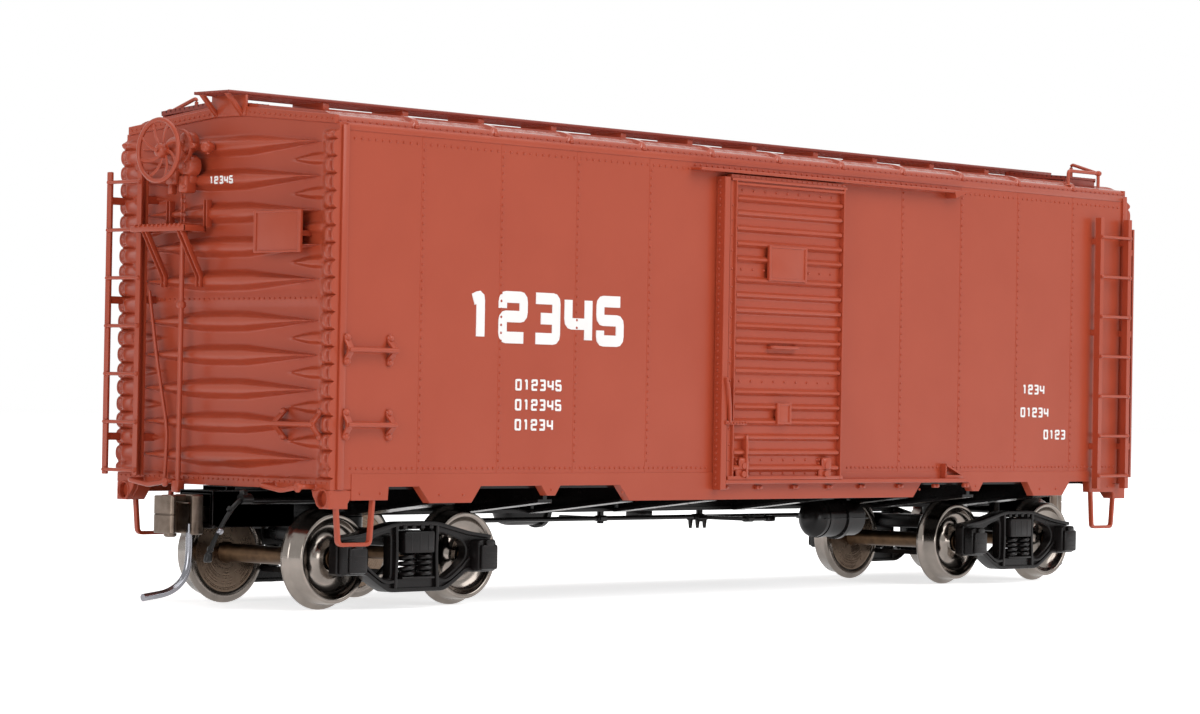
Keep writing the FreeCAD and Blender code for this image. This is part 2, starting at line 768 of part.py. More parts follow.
def door():
    """A sliding door: a panel with its row of pressed ribs."""
    outline = [(-half_leaf, size.door_bottom), (half_leaf, size.door_bottom),
               (half_leaf, size.door_top), (-half_leaf, size.door_top)]
    body = new_body()
    add_plate(body, "XZ", outline, door_front, door_back)
    z = size.door_bottom + 1.2
    rib = [(-half_leaf + 1.3, z - 0.3), (half_leaf - 1.3, z - 0.3),
           (half_leaf - 1.3, z + 0.5), (-half_leaf + 1.3, z + 0.5)]
    feature = add_plate(body, "XZ", rib, door_skin, door_front)
    repeat(body, feature, "Z", (size.door_top - size.door_bottom - 3.1) / 18, 19)
    return body


def door_hardware():
    """What is fixed to a door: boards, handle, latch and rollers."""
    out = door_skin - 0.35
    low = size.door_bottom
    pieces = [box((-3.9, 2.95), (out, door_skin), (low + 23.0, low + 27.1)),
              box((-2.0, 0.5), (out, door_skin), (low + 6.4, low + 8.85)),
              box((-half_leaf + 0.1, -half_leaf + 0.65), (out, door_front),
                  (low + 4.6, low + 11.6)),
              wire_form([(-3.1, door_skin, low + 15.3), (-3.1, out - 0.1, low + 15.3),
                         (1.6, out - 0.1, low + 15.3), (1.6, door_skin, low + 15.3)], 0.18, 0.2)]
    for x in (-7.9, 7.1):
        pieces.append(box((x, x + 0.9), (out, door_skin), (low + 0.05, low + 2.3)))
    return group(pieces)


def upper_track():
    """The thin rail along the top of the door's travel, with its end gusset."""
    top = size.door_top + 0.9
    rail = box((-half_leaf - 5.5, stop_x), (lip_face, side_face), (top - 0.35, top))
    gusset = [(stop_x, top - 1.05), (stop_x + 3.1, top), (stop_x, top)]
    return fuse([rail, plate("XZ", gusset, lip_face, side_face)])


def lower_track():
    """The rail on which the door's rollers run, its lugs and its stop."""
    top = size.door_bottom - 0.2
    low = size.side_bottom - 0.1
    right = stop_x + 6.6
    pieces = [box((-half_leaf - 0.75, right), (lip_face, side_face), (low, top))]
    stop = [(stop_x, top), (stop_x + 3.7, top), (stop_x, top + 2.1)]
    pieces.append(plate("XZ", stop, lip_face, side_face))
    for x in (-10.4, -4.5, 2.0, 8.3, 14.5, 21.9, 29.0, 36.0):
        pieces.append(box((x - 0.4, x + 0.4), (side_face - 0.7, side_face),
                          (low - 0.7, low)))
    return fuse(pieces)


subpart("door_right", door())
subpart("door_left", door(), turn=True)
subpart("door_right_hardware", door_hardware())
subpart("door_left_hardware", door_hardware(), turn=True)
subpart("upper_door_tracks", both_ends(upper_track))
subpart("lower_door_tracks", both_ends(lower_track))


# --------------------------------------------------------------- underframe
half_sill = size.center_sill_width / 2
inner_side = half_width - size.wall
bearer_low = size.center_sill_bottom - 0.1
bearer_high = size.side_bottom - 1.9
tank_x, tank_y, tank_z = 15.4, -9.0, 8.75
tank_radius, tank_length = 2.3, 9.3
pipe_y, pipe_z, pipe_radius = -4.6, 11.4, 0.35
hose_start = 0.4


def center_sill():
    """The centre sill: a web over a wider flange, and the truck screws' bosses."""
    end_x = coupler_pivot - 2.6
    low = size.center_sill_bottom
    pieces = [box((-end_x, end_x), (-half_sill + 0.5, half_sill - 0.5), (low, size.floor_bottom)),
              box((-end_x, end_x), (-half_sill, half_sill), (low, low + 0.4))]
    for x in (-truck_x, truck_x):
        pieces.append(rod("z", size.plate_radius, (x, 0, low), size.floor_bottom - low))
    sill = fuse(pieces)
    for x in (-truck_x, truck_x):
        sill = cut(sill, rod("z", size.screw_radius, (x, 0, low - 1), size.floor_bottom - low))
    return sill


def bearer(x, web, flange):
    """A pair of tapered cross members, from the centre sill to both sides."""
    pieces = []
    for way in (-1, 1):
        near = way * (half_sill - 0.5)
        far = way * inner_side
        skin = [(near, bearer_low), (far, bearer_high), (far, bearer_high + 0.35),
                (near, bearer_low + 0.35)]
        sheet_shape = [(near, bearer_low), (far, bearer_high), (far, size.floor_bottom),
                       (near, size.floor_bottom)]
        pieces.append(fuse([plate("YZ", sheet_shape, x - web, x + web),
                            plate("YZ", skin, x - flange, x + flange)]))
    return group(pieces)


def body_bolsters():
    """The two body bolsters, clear of the centre sill's bosses."""
    pieces = []
    for x in (-truck_x, truck_x):
        pair = bearer(x, 0.5, 1.9)
        boss = rod("z", size.plate_radius, (x, 0, bearer_low - 1), 6)
        sill = box((x - 3, x + 3), (-half_sill, half_sill), (bearer_low - 1, size.floor_bottom + 1))
        pieces.append(cut(pair, fuse([boss, sill])))
    return cut(group(pieces), rod("x", pipe_radius, (-half_length, pipe_y, pipe_z), size.body_length))


def crossbearers():
    """The six crossbearers, clear of the sill, the pipe and the reservoir."""
    pairs = [bearer(x, 0.3, 1.1) for x in (-outer_bearer, -25.0, -10.7, 10.7, 25.0, outer_bearer)]
    sill = box((-truck_x, truck_x), (-half_sill, half_sill),
               (size.center_sill_bottom - 1, size.floor_bottom + 1))
    pipe = rod("x", pipe_radius, (-half_length, pipe_y, pipe_z), size.body_length)
    tank = rod("x", tank_radius, (tank_x, tank_y, tank_z), tank_length)
    return cut(cut(cut(group(pairs), sill), pipe), tank)


def air_reservoir():
    """The two-part air reservoir with its middle flange and its hangers."""
    body = rod("x", tank_radius, (tank_x, tank_y, tank_z), tank_length)
    flange = rod("x", tank_radius + 0.35, (tank_x + 4.7, tank_y, tank_z), 0.6)
    pieces = [body, flange]
    for x in (tank_x + 1.4, tank_x + 6.6):
        pieces.append(box((x, x + 0.8), (tank_y - 0.6, tank_y + 0.6), (tank_z + 1.5, size.floor_bottom)))
    return fuse(pieces)


def brake_cylinder():
    """The brake cylinder with its head flange, push rod and bracket."""
    y, z = 8.2, 9.6
    pieces = [rod("x", 1.9, (-20.5, y, z), 6.6), rod("x", 2.25, (-14.6, y, z), 0.7),
              rod("x", 0.45, (-14.0, y, z), 5.4),
              box((-19.6, -16.0), (y - 0.9, y + 0.9), (z + 1.2, size.floor_bottom))]
    return fuse(pieces)


def control_valve():
    """The control valve: a stepped block on its bracket."""
    pieces = [box((2.0, 7.6), (7.4, 10.8), (9.3, 11.6)), box((3.4, 6.2), (8.0, 10.2), (8.2, 9.3)),
              box((3.9, 5.7), (8.4, 9.8), (11.6, size.floor_bottom)),
              rod("y", 0.9, (3.2, 6.6, 10.4), 5.0)]
    return fuse(pieces)


def brake_rigging():
    """The levers between the cylinder and the trucks, and their rods."""
    low = 8.35
    lever = [(-9.4, 2.4), (-8.2, 2.4), (-8.2, 9.4), (-9.4, 9.4)]
    floating = [(8.2, -5.6), (9.4, -5.6), (9.4, 3.4), (8.2, 3.4)]
    pieces = [plate("XY", lever, low, low + 0.5), plate("XY", floating, low, low + 0.5),
              rod("x", 0.3, (-8.6, 3.0, low + 0.25), 17.2),
              rod("x", 0.3, (-34.0, 3.0, low + 0.25), 25.2),
              rod("x", 0.3, (8.8, -5.0, low + 0.25), 4.0),
              rod("x", 0.3, (8.8, 2.8, low + 0.25), 25.2)]
    for x, y in ((-8.8, 3.0), (8.8, 2.8), (-34.0, 3.0), (34.0, 2.8)):
        pieces.append(rod("z", 0.45, (x, y, low - 0.4), size.floor_bottom - low + 0.4))
    return fuse(pieces)


def train_pipe():
    """The train pipe: along one side of the sill, across below it, and on."""
    cross_x, cross_z, elbow = truck_x + 5.05, 9.15, 0.45
    far = half_length + hose_start
    pieces = [rod("x", pipe_radius, (-far, pipe_y, pipe_z), far + cross_x - elbow),
              rod("x", pipe_radius, (cross_x + elbow, -pipe_y, pipe_z), far - cross_x - elbow),
              rod("y", pipe_radius, (cross_x, pipe_y + elbow, cross_z), -2 * (pipe_y + elbow))]
    for y in (pipe_y, -pipe_y):
        pieces.append(box((cross_x - elbow, cross_x + elbow), (y - elbow, y + elbow),
                          (cross_z - elbow, pipe_z + elbow)))
    return group(pieces)


def draft_gear_box():
    """A coupler's box with its post, and the block that carries it."""
    front, back = -box_front, 2.6 - coupler_pivot
    half_box = size.box_width / 2
    low, high = size.coupler_height - 1.35, size.coupler_height + 2.5
    wall = size.box_wall
    shell = cut(box((front, back), (-half_box, half_box), (low, high)),
                box((front - 1, back - wall), (wall - half_box, half_box - wall),
                    (low + wall, high - wall)))
    post = rod("z", 0.9, (-coupler_pivot, 0, low), high - low)
    carrier = box((front + 2.5, back), (-half_sill, half_sill), (high, size.floor_bottom))
    return fuse([shell, post, carrier])


def air_hose():
    """An air hose at an end: pipe, angle cock, hose and coupling."""
    start, y, z = end_face - hose_start, -5.0, pipe_z + 0.25
    hose = wire_form([(start, y, z), (start - 2.0, y, z), (start - 4.3, y, z - 2.75),
                      (start - 6.0, y, z - 5.75)], 0.5, 2.5)
    pieces = [hose, rod("x", 0.75, (start - 2.0, y, z), 1.2),
              box((start - 6.8, start - 5.6), (y - 0.6, y + 0.6), (z - 6.65, z - 5.35))]
    return fuse(pieces)


def end_sill_grab(y_near, y_far):
    """A drooping grab iron below an end, with an eyelet where it is bolted."""
    out, z = end_face - 2.5, size.floor_bottom + 0.3
    bar = wire_form([(end_face, y_near, z), (out, y_near, z), (out, (y_near + y_far) / 2, z - 0.45),
                     (out, y_far, z - 0.1)], 0.25, 0.4)
    foot = rod("x", 0.3, (out - 0.1, y_far, z), 2.6)
    return fuse([bar, foot, rod("x", 0.75, (out - 0.3, y_far, z - 0.2), 0.6)])


def end_sill_grabs():
    """The grab irons below both corners of an end."""
    return group([end_sill_grab(12.6, 6.2), end_sill_grab(-8.5, -14.6)])


def truck_screw(x):
    """The screw on which a truck turns."""
    low = size.bolster_bottom - 0.15
    shank = rod("z", size.screw_radius, (x, 0, low), size.floor_bottom - 1.2 - low)
    return fuse([shank, rod("z", 1.6, (x, 0, low - 0.8), 0.8)])


subpart("center_sill", center_sill())
subpart("body_bolsters", body_bolsters())
subpart("crossbearers", crossbearers())
subpart("air_reservoir", air_reservoir())
subpart("brake_cylinder", brake_cylinder())
subpart("control_valve", control_valve())
subpart("brake_rigging", brake_rigging())
subpart("train_pipe", train_pipe())
subpart("draft_gear_boxes", both_ends(draft_gear_box))
subpart("air_hoses", both_ends(air_hose))
subpart("end_sill_grabs", both_ends(end_sill_grabs))
subpart("truck_screws", group([truck_screw(-truck_x), truck_screw(truck_x)]))


# ------------------------------------------------------------------- trucks
frame_outer = size.frame_inner + size.frame_thickness
FRAME = [(2.6, "top"), (11.0, 7.75), (11.2, 3.8), (6.9, 3.8), (3.9, "low")]
ARCH = [(3.5, 8.1), (7.2, 7.5), (7.6, 6.6), (5.0, 4.1), (4.0, 4.1), (3.4, 5.4)]


def truck_bolster():
    """The bolster with its centre plate, bored for the screw."""
    x, y = -truck_x, frame_outer + 0.4
    end = [(-y, size.bolster_bottom), (y, size.bolster_bottom), (y, size.bolster_top - 0.9),
           (y - 3, size.bolster_top), (3 - y, size.bolster_top), (-y, size.bolster_top - 0.9)]
    beam = plate("YZ", end, x - 1.9, x + 1.9)
    centre = rod("z", size.plate_radius, (x, 0, size.bolster_bottom),
                 size.plate_top - size.bolster_bottom)
    bore = rod("z", size.screw_radius + size.screw_clearance, (x, 0, size.bolster_bottom - 1),
               size.plate_top - size.bolster_bottom + 2)
    return cut(fuse([beam, centre]), bore)


def truck_frame(side_way):
    """One side frame: cast outline, three windows, journal boxes and bearings."""
    heights = {"top": size.frame_top, "low": size.frame_bottom}
    right = [(x, heights.get(z, z)) for x, z in FRAME]
    outline = [(x - truck_x, z) for x, z in right]
    outline += [(-x - truck_x, z) for x, z in reversed(right)]
    low, high = sorted((side_way * size.frame_inner, side_way * frame_outer), key=float)
    body = new_body()
    add_plate(body, "XZ", outline, low, high)
    window = [(x - truck_x, z) for x, z in ((2.5, 3.4), (2.5, 8.7), (-2.5, 8.7), (-2.5, 3.4))]
    openings = [window] + [[(way * x - truck_x, z) for x, z in ARCH] for way in (-1, 1)]
    for hole in openings:
        add_plate(body, "XZ", hole, low - 1, high + 1, "Pocket")
    pieces = [body]
    bores = []
    for way in (-1, 1):
        x = way * half_base - truck_x
        y_low, y_high = sorted((side_way * (size.frame_inner - 0.1), side_way * 13.5), key=float)
        pieces.append(box((x - 1.35, x + 1.35), (y_low, y_high),
                          (axle_height - 1.65, axle_height + 1.85)))
        y_low, y_high = sorted((side_way * (frame_outer - 0.3), side_way * 13.75), key=float)
        pieces.append(box((x - 0.95, x + 0.95), (y_low, y_high),
                          (axle_height - 1.25, axle_height + 1.3)))
        bores.append(place(bearing_bore(side_way), x, 0, axle_height))
    frame = fuse(pieces)
    for bore in bores:
        frame = cut(frame, bore)
    return frame


def bearing_bore(side_way):
    """The space an axle's point turns in, a little wider than the axle."""
    radius = size.axle_radius + size.axle_clearance
    tip = size.axle_length / 2 + size.axle_clearance * 2
    outline = [(8, 0), (8, radius), (tip - 1.75, radius), (tip, 0.05), (tip, 0)]
    return turned_profile([(side_way * y, r) for y, r in outline])


def truck_springs():
    """The coil springs under both ends of the bolster."""
    coils = []
    for y in (-11.4, 11.4):
        for x in (-1.25, 1.25):
            coils.append(rod("z", 0.8, (x - truck_x, y, 3.4), size.bolster_bottom - 3.4))
    return group(coils)


def brake_beams():
    """The two brake beams with their shoes, hung under the bolster."""
    pieces = []
    for way in (-1, 1):
        x = way * 3.5 - truck_x
        pieces.append(box((x - 0.4, x + 0.4), (-9.4, 9.4), (3.2, 3.8)))
        for y in (-8.85, 8.85):
            x_low, x_high = sorted((way * 3.1 - truck_x, way * 4.4 - truck_x), key=float)
            pieces.append(box((x_low, x_high), (y - 0.75, y + 0.75), (2.4, 4.6)))
    for y in (-3.2, 3.2):
        pieces.append(box((-3.5 - truck_x, 3.5 - truck_x), (y - 0.4, y + 0.4), (3.2, 3.8)))
        pieces.append(box((-0.6 - truck_x, 0.6 - truck_x), (y - 0.4, y + 0.4),
                          (3.8, size.bolster_bottom)))
    return fuse(pieces)


def axle(x):
    """A pinpoint axle."""
    tip = size.axle_length / 2
    outline = [(-tip, 0), (-tip, 0.15), (1.7 - tip, size.axle_radius),
               (tip - 1.7, size.axle_radius), (tip, 0.15), (tip, 0)]
    return place(turned_profile(outline), x, 0, axle_height)


def wheel(side_way):
    """A wheel with its flange, tread, dished face and hub."""
    back = size.back_to_back / 2
    face = back + size.wheel_width
    tread, flange = size.tread_radius, size.flange_radius
    outline = [(back, size.axle_radius), (back, flange - 0.15), (back + 0.13, flange),
               (back + 0.43, flange), (back + 0.88, tread + 0.04), (face - 0.2, tread - 0.06),
               (face, tread - 0.21), (face, tread - 0.71), (face - 0.7, tread - 1.3),
               (face - 0.7, 2.2), (face + 0.05, 1.6), (face + 0.05, size.axle_radius)]
    return turned_profile([(side_way * y, radius) for y, radius in outline])


def wheels(x):
    """Both wheels of an axle."""
    return group([place(wheel(-1), x, 0, axle_height), place(wheel(1), x, 0, axle_height)])


for letter, turn in (("b", False), ("a", True)):
    subpart(f"truck_{letter}_bolster", truck_bolster(), turn)
    subpart(f"truck_{letter}_frames", group([truck_frame(-1), truck_frame(1)]), turn)
    subpart(f"truck_{letter}_springs", truck_springs(), turn)
    subpart(f"truck_{letter}_brake_beams", brake_beams(), turn)
axle_places = [-truck_x - half_base, half_base - truck_x, truck_x - half_base, truck_x + half_base]
for number, x in enumerate(axle_places, start=1):
    subpart(f"wheelset_{number}_axle", axle(x))
    subpart(f"wheelset_{number}_wheels", wheels(x))


# ----------------------------------------------------------------- couplers
knuckle_x, knuckle_y = end_face - size.knuckle_reach, size.knuckle_pivot_y
plate_x = knuckle_x + 1.3
shank_low, shank_high = size.coupler_height - 0.85, size.coupler_height + 0.75
head_low, head_high = size.coupler_height - 1.95, size.coupler_height + 1.95
hub_top = head_high - 0.8


def coupler():
    """The coupler's shank and head: back plate, guard arm, lug and knuckle pin."""
    ring = rod("z", 1.8, (-coupler_pivot, 0, shank_low), shank_high - shank_low)
    shank = box((plate_x, -coupler_pivot - 1.2), (-0.75, 0.75), (shank_low, shank_high))
    back = box((plate_x, plate_x + 0.6), (-2.1, 1.8), (head_low - 0.1, head_high + 0.1))
    guard = [(plate_x + 0.6, -2.1), (plate_x, -1.9), (plate_x - 0.9, -1.95),
             (plate_x - 1.6, -2.4), (plate_x - 1.4, -2.8), (plate_x - 0.6, -2.75)]
    arm = plate("XY", guard, head_low - 0.1, head_high + 0.1)
    lug = rod("z", 0.9, (knuckle_x, knuckle_y, head_high - 0.7), 0.7)
    web = box((knuckle_x, plate_x + 0.1), (knuckle_y - 0.9, knuckle_y + 0.9),
              (head_high - 0.7, head_high))
    pin = rod("z", 0.4, (knuckle_x, knuckle_y, head_low - 0.1), head_high - head_low)
    rivet = rod("z", 0.7, (knuckle_x, knuckle_y, head_low - 0.4), 0.3)
    solid = fuse([ring, shank, back, arm, lug, web, pin, rivet])
    return cut(solid, rod("z", 1.0, (-coupler_pivot, 0, shank_low - 1), 4))


def knuckle():
    """The knuckle with its hub, nose and tail, and the trip pin below."""
    tail_x, tail_y = knuckle_x + 0.75, knuckle_y - 2.2
    hub = rod("z", 0.9, (knuckle_x, knuckle_y, head_low), hub_top - head_low)
    face = knuckle_x - 2.05
    nose = [(face, knuckle_y + 0.3), (face, knuckle_y - 2.35), (face + 0.3, knuckle_y - 2.6),
            (face + 0.8, knuckle_y - 2.3), (face + 1.05, knuckle_y - 1.2),
            (face + 1.05, knuckle_y + 0.6), (face + 0.5, knuckle_y + 0.6)]
    front = plate("XY", nose, head_low, head_high)
    neck = box((face + 1.0, knuckle_x), (knuckle_y - 0.8, knuckle_y + 0.6), (head_low, hub_top))
    tail = rod("z", 0.37, (tail_x, tail_y, head_low), hub_top - head_low)
    link = [(knuckle_x + 0.3, knuckle_y - 0.8), (tail_x - 0.3, tail_y), (tail_x + 0.3, tail_y),
            (knuckle_x + 0.85, knuckle_y)]
    bar = plate("XY", link, head_low, hub_top)
    trip = wire_form([(tail_x, tail_y, head_low + 0.3), (tail_x, tail_y, 3.6),
                      (tail_x - 2.4, tail_y, 1.9), (tail_x - 6.1, tail_y, 1.5)], 0.37, 2.4)
    solid = fuse([hub, front, neck, tail, bar, trip])
    return cut(solid, rod("z", 0.45, (knuckle_x, knuckle_y, head_low - 1), 6))


for letter, turn in (("b", False), ("a", True)):
    subpart(f"coupler_{letter}", coupler(), turn)
    subpart(f"coupler_{letter}_knuckle", knuckle(), turn)


# --------------------------------------------------------- checks and output
doc.recompute()
troubled = [item.Name for item in doc.Objects
            if "Invalid" in item.State or "Error" in item.State]
troubled += [item.Label for item in SUBPARTS
             if item.Shape.isNull() or not item.Shape.isValid() or not item.Shape.Solids]
if troubled:
    raise RuntimeError(f"these did not build: {troubled}")
os.makedirs("parts", exist_ok=True)
for item in SUBPARTS:
    item.Shape.exportStep(f"parts/{item.Label}.step")
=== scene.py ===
"""Looks of an HO scale model of a 40-foot steel boxcar.

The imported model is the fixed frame.  Every class below builds one sub-assembly
around it: surfaces worked out with numpy in millimetres, dressed with
node-based finishes, riding on the bodies of the frame.

Axes: X along the car with the brake end at -X, Y across it, Z up from the
bottom of the wheel flanges.  The car repeats itself after half a turn about Z,
apart from its brake gear, so most parts are drawn once and turned.
"""

import json
import logging
import math
from dataclasses import dataclass, field
from enum import Enum
from itertools import product
from typing import Callable, Iterable, Sequence

import bmesh
import bpy
import numpy as np
from mathutils import Matrix, Vector
from mathutils.geometry import tessellate_polygon

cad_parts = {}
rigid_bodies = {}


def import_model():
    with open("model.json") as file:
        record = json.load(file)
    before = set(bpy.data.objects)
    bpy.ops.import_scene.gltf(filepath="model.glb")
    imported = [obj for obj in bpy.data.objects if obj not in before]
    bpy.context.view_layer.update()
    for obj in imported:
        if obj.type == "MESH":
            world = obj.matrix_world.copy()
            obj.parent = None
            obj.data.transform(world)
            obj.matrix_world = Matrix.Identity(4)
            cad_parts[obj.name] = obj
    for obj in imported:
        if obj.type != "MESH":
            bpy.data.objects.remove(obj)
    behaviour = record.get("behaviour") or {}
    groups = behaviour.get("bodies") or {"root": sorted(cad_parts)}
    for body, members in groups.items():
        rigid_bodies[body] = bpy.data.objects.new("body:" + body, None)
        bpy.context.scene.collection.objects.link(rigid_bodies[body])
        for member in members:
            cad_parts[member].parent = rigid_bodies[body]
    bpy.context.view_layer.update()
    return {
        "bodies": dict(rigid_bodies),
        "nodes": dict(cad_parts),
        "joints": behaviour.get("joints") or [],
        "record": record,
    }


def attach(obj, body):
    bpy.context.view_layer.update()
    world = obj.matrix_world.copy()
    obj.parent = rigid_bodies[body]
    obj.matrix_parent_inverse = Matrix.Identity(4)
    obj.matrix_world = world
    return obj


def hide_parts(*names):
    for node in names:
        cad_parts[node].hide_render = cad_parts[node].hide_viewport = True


MM = 0.001
LOG = logging.getLogger("boxcar")
Pair = tuple[float, float]
Point = tuple[float, float, float]
Loop = Sequence[Pair]
Tree = bpy.types.NodeTree
Socket = bpy.types.NodeSocket

# Sizes of the frame that several classes share, in millimetres.
SIDE = -16.9  # outer face of the right side
END = -70.5  # outer face of the brake end
UNDERSIDE = 12.9  # bottom of the floor
EAVE, RISE, HALF_ROOF = 51.3, 1.75, 16.45  # roof sheet: edge, rise to the ridge, half width
SEAM_PITCH = 11.83  # from one seam rib of the roof to the next
TRUCK_X, HALF_BASE, AXLE_Z = 53.95, 9.7, 5.45  # truck centre, half its wheelbase, axle height
COUPLER_PIVOT = -65.4  # where the coupler turns at the brake end
TIP = 0.02  # radius at which a turned profile ends beside its axis


# ------------------------------------------------------------ small geometry
class Axis(Enum):
    """Direction along which a flat outline is given its thickness.

    The value lists where the outline's two coordinates and the thickness go.
    """

    X = (1, 2, 0)
    Y = (0, 2, 1)
    Z = (0, 1, 2)

    def place(self, flat: np.ndarray, depth: np.ndarray | float) -> np.ndarray:
        """Lift flat coordinates into space.

        Args:
            flat: array (..., 2) of outline coordinates.
            depth: coordinate along this axis, a number or an array (...).

        Returns:
            array (..., 3) of points.
        """
        points = np.empty(flat.shape[:-1] + (3,))
        across, along, through = self.value
        points[..., across] = flat[..., 0]
        points[..., along] = flat[..., 1]
        points[..., through] = depth
        return points


def offset_loop(loop: np.ndarray, inset: float) -> np.ndarray:
    """Move every side of a closed anticlockwise loop inwards by inset.

    Each corner moves along the sum of its two side normals, lengthened by
    one over (1 + cosine of the angle between them), which is a mitre.

    Args:
        loop: array (n, 2).
        inset: distance, positive towards the inside.

    Returns:
        array (n, 2) of moved corners.
    """
    before = loop - np.roll(loop, 1, axis=0)
    after = np.roll(loop, -1, axis=0) - loop
    normals = []
    for run in (before, after):
        run = run / np.linalg.norm(run, axis=1, keepdims=True)
        normals.append(np.stack([-run[:, 1], run[:, 0]], axis=1))
    spread = 1 + (normals[0] * normals[1]).sum(axis=1, keepdims=True)
    return loop + inset * (normals[0] + normals[1]) / np.maximum(spread, 0.3)


def anticlockwise(loop: Loop) -> np.ndarray:
    """The loop as an array, reversed if its signed area is negative.

    Args:
        loop: points of a closed line.

    Returns:
        array (n, 2), anticlockwise.
    """
    points = np.asarray(loop, float)
    following = np.roll(points, -1, axis=0)
    area = (points[:, 0] * following[:, 1] - following[:, 0] * points[:, 1]).sum()
    return points if area > 0 else points[::-1].copy()


def rounded(corners: Sequence, radius: float, steps: int = 4, closed: bool = False) -> np.ndarray:
    """Round a line's corners with short parabolas.

    A corner C between setback points A and B becomes
    (1 - t)^2 A + 2 t (1 - t) C + t^2 B for t from 0 to 1.

    Args:
        corners: n points of two or three coordinates.
        radius: how far from the corner the bend starts.
        steps: points along each bend, less one.
        closed: whether the line closes on itself.

    Returns:
        the rounded line.
    """
    line = np.asarray(corners, float)
    middle = line if closed else line[1:-1]
    before = np.roll(line, 1, axis=0) if closed else line[:-2]
    after = np.roll(line, -1, axis=0) if closed else line[2:]
    ends = []
    for other in (before, after):
        run = other - middle
        length = np.linalg.norm(run, axis=1, keepdims=True)
        ends.append(middle + run / length * np.minimum(radius, 0.46 * length))
    t = np.linspace(0, 1, steps + 1)[None, :, None]
    start, corner, stop = ends[0][:, None], middle[:, None], ends[1][:, None]
    bends = ((1 - t) ** 2 * start + 2 * t * (1 - t) * corner + t ** 2 * stop)
    bends = bends.reshape(-1, line.shape[1])
    return bends if closed else np.vstack([line[:1], bends, line[-1:]])


def ellipse(half_a: float, half_b: float, count: int = 8) -> np.ndarray:
    """Points (a cos t, b sin t) round an ellipse."""
    angle = np.linspace(0, math.tau, count, endpoint=False)
    return np.stack([half_a * np.cos(angle), half_b * np.sin(angle)], axis=1)


def circle(axis: Axis, centre: Point, radius: float, count: int,
           other: float | None = None) -> np.ndarray:
    """Points round an axis through centre: a circle, or an ellipse with its other half axis.

    Args:
        axis: direction of the axis.
        centre: where the axis passes.
        radius: half axis along the first flat direction.
        count: how many points.
        other: half axis along the second, or None for a circle.

    Returns:
        array (count, 3).
    """
    across, along, through = axis.value
    flat = ellipse(radius, other or radius, count) + (centre[across], centre[along])
    return axis.place(flat, centre[through])


def rectangle(left: float, right: float, low: float, high: float) -> Loop:
    """The four corners of an upright rectangle."""
    return [(left, low), (right, low), (right, high), (left, high)]


def mirrored(half: Loop) -> Loop:
    """Half an outline, followed by its mirror image back to the start."""
    return [*half, *((-x, z) for x, z in reversed(half))]


def boss(half: float, radius: float, slant: float = 0.02) -> Loop:
    """Profile of a short round boss, its ends slanted by a hair."""
    return [(-half, TIP), (slant - half, radius), (half - slant, radius), (half, TIP)]


def solid(outline: Loop) -> Loop:
    """A turned profile brought in square to the axis at both ends."""
    return [(outline[0][0], TIP), *outline, (outline[-1][0], TIP)]


def rounded_box(half_a: float, half_b: float, radius: float) -> np.ndarray:
    """A rectangle centred on zero with rounded corners, as a closed loop.

    Args:
        half_a: half its first side.
        half_b: half its second.
        radius: how far from a corner its bend starts.

    Returns:
        array (n, 2), the loop.
    """
    corners = np.array([[half_a, -half_b], [half_a, half_b], [-half_a, half_b],
                        [-half_a, -half_b]])
    return rounded(corners, radius, 2, closed=True)


def bump(distance: np.ndarray, half_width: np.ndarray | float) -> np.ndarray:
    """A smooth rib: the squared cosine, falling to nothing at half_width."""
    share = np.clip(np.abs(distance) / np.maximum(half_width, 1e-6), 0, 1)
    return np.cos(share * math.pi / 2) ** 2


def ramp(value: np.ndarray, start: float, stop: float) -> np.ndarray:
    """Smooth step from 0 at start to 1 at stop: 3 t^2 - 2 t^3."""
    t = np.clip((value - start) / (stop - start), 0, 1)
    return t * t * (3 - 2 * t)


def quads(index: np.ndarray, around: bool = True) -> list[list[int]]:
    """Four-sided faces between neighbours in a table of point numbers.

    Args:
        index: array (n, m) of point numbers.
        around: whether each row closes on itself.

    Returns:
        the faces.
    """
    beside = np.roll(index, -1, axis=1)
    faces = np.stack([index[:-1], beside[:-1], beside[1:], index[1:]], axis=-1)
    return (faces if around else faces[:, :-1]).reshape(-1, 4).tolist()


def roof_at(y: float) -> float:
    """Height of the roof sheet at a distance y from the ridge."""
    return EAVE + RISE * (1 - y / HALF_ROOF)


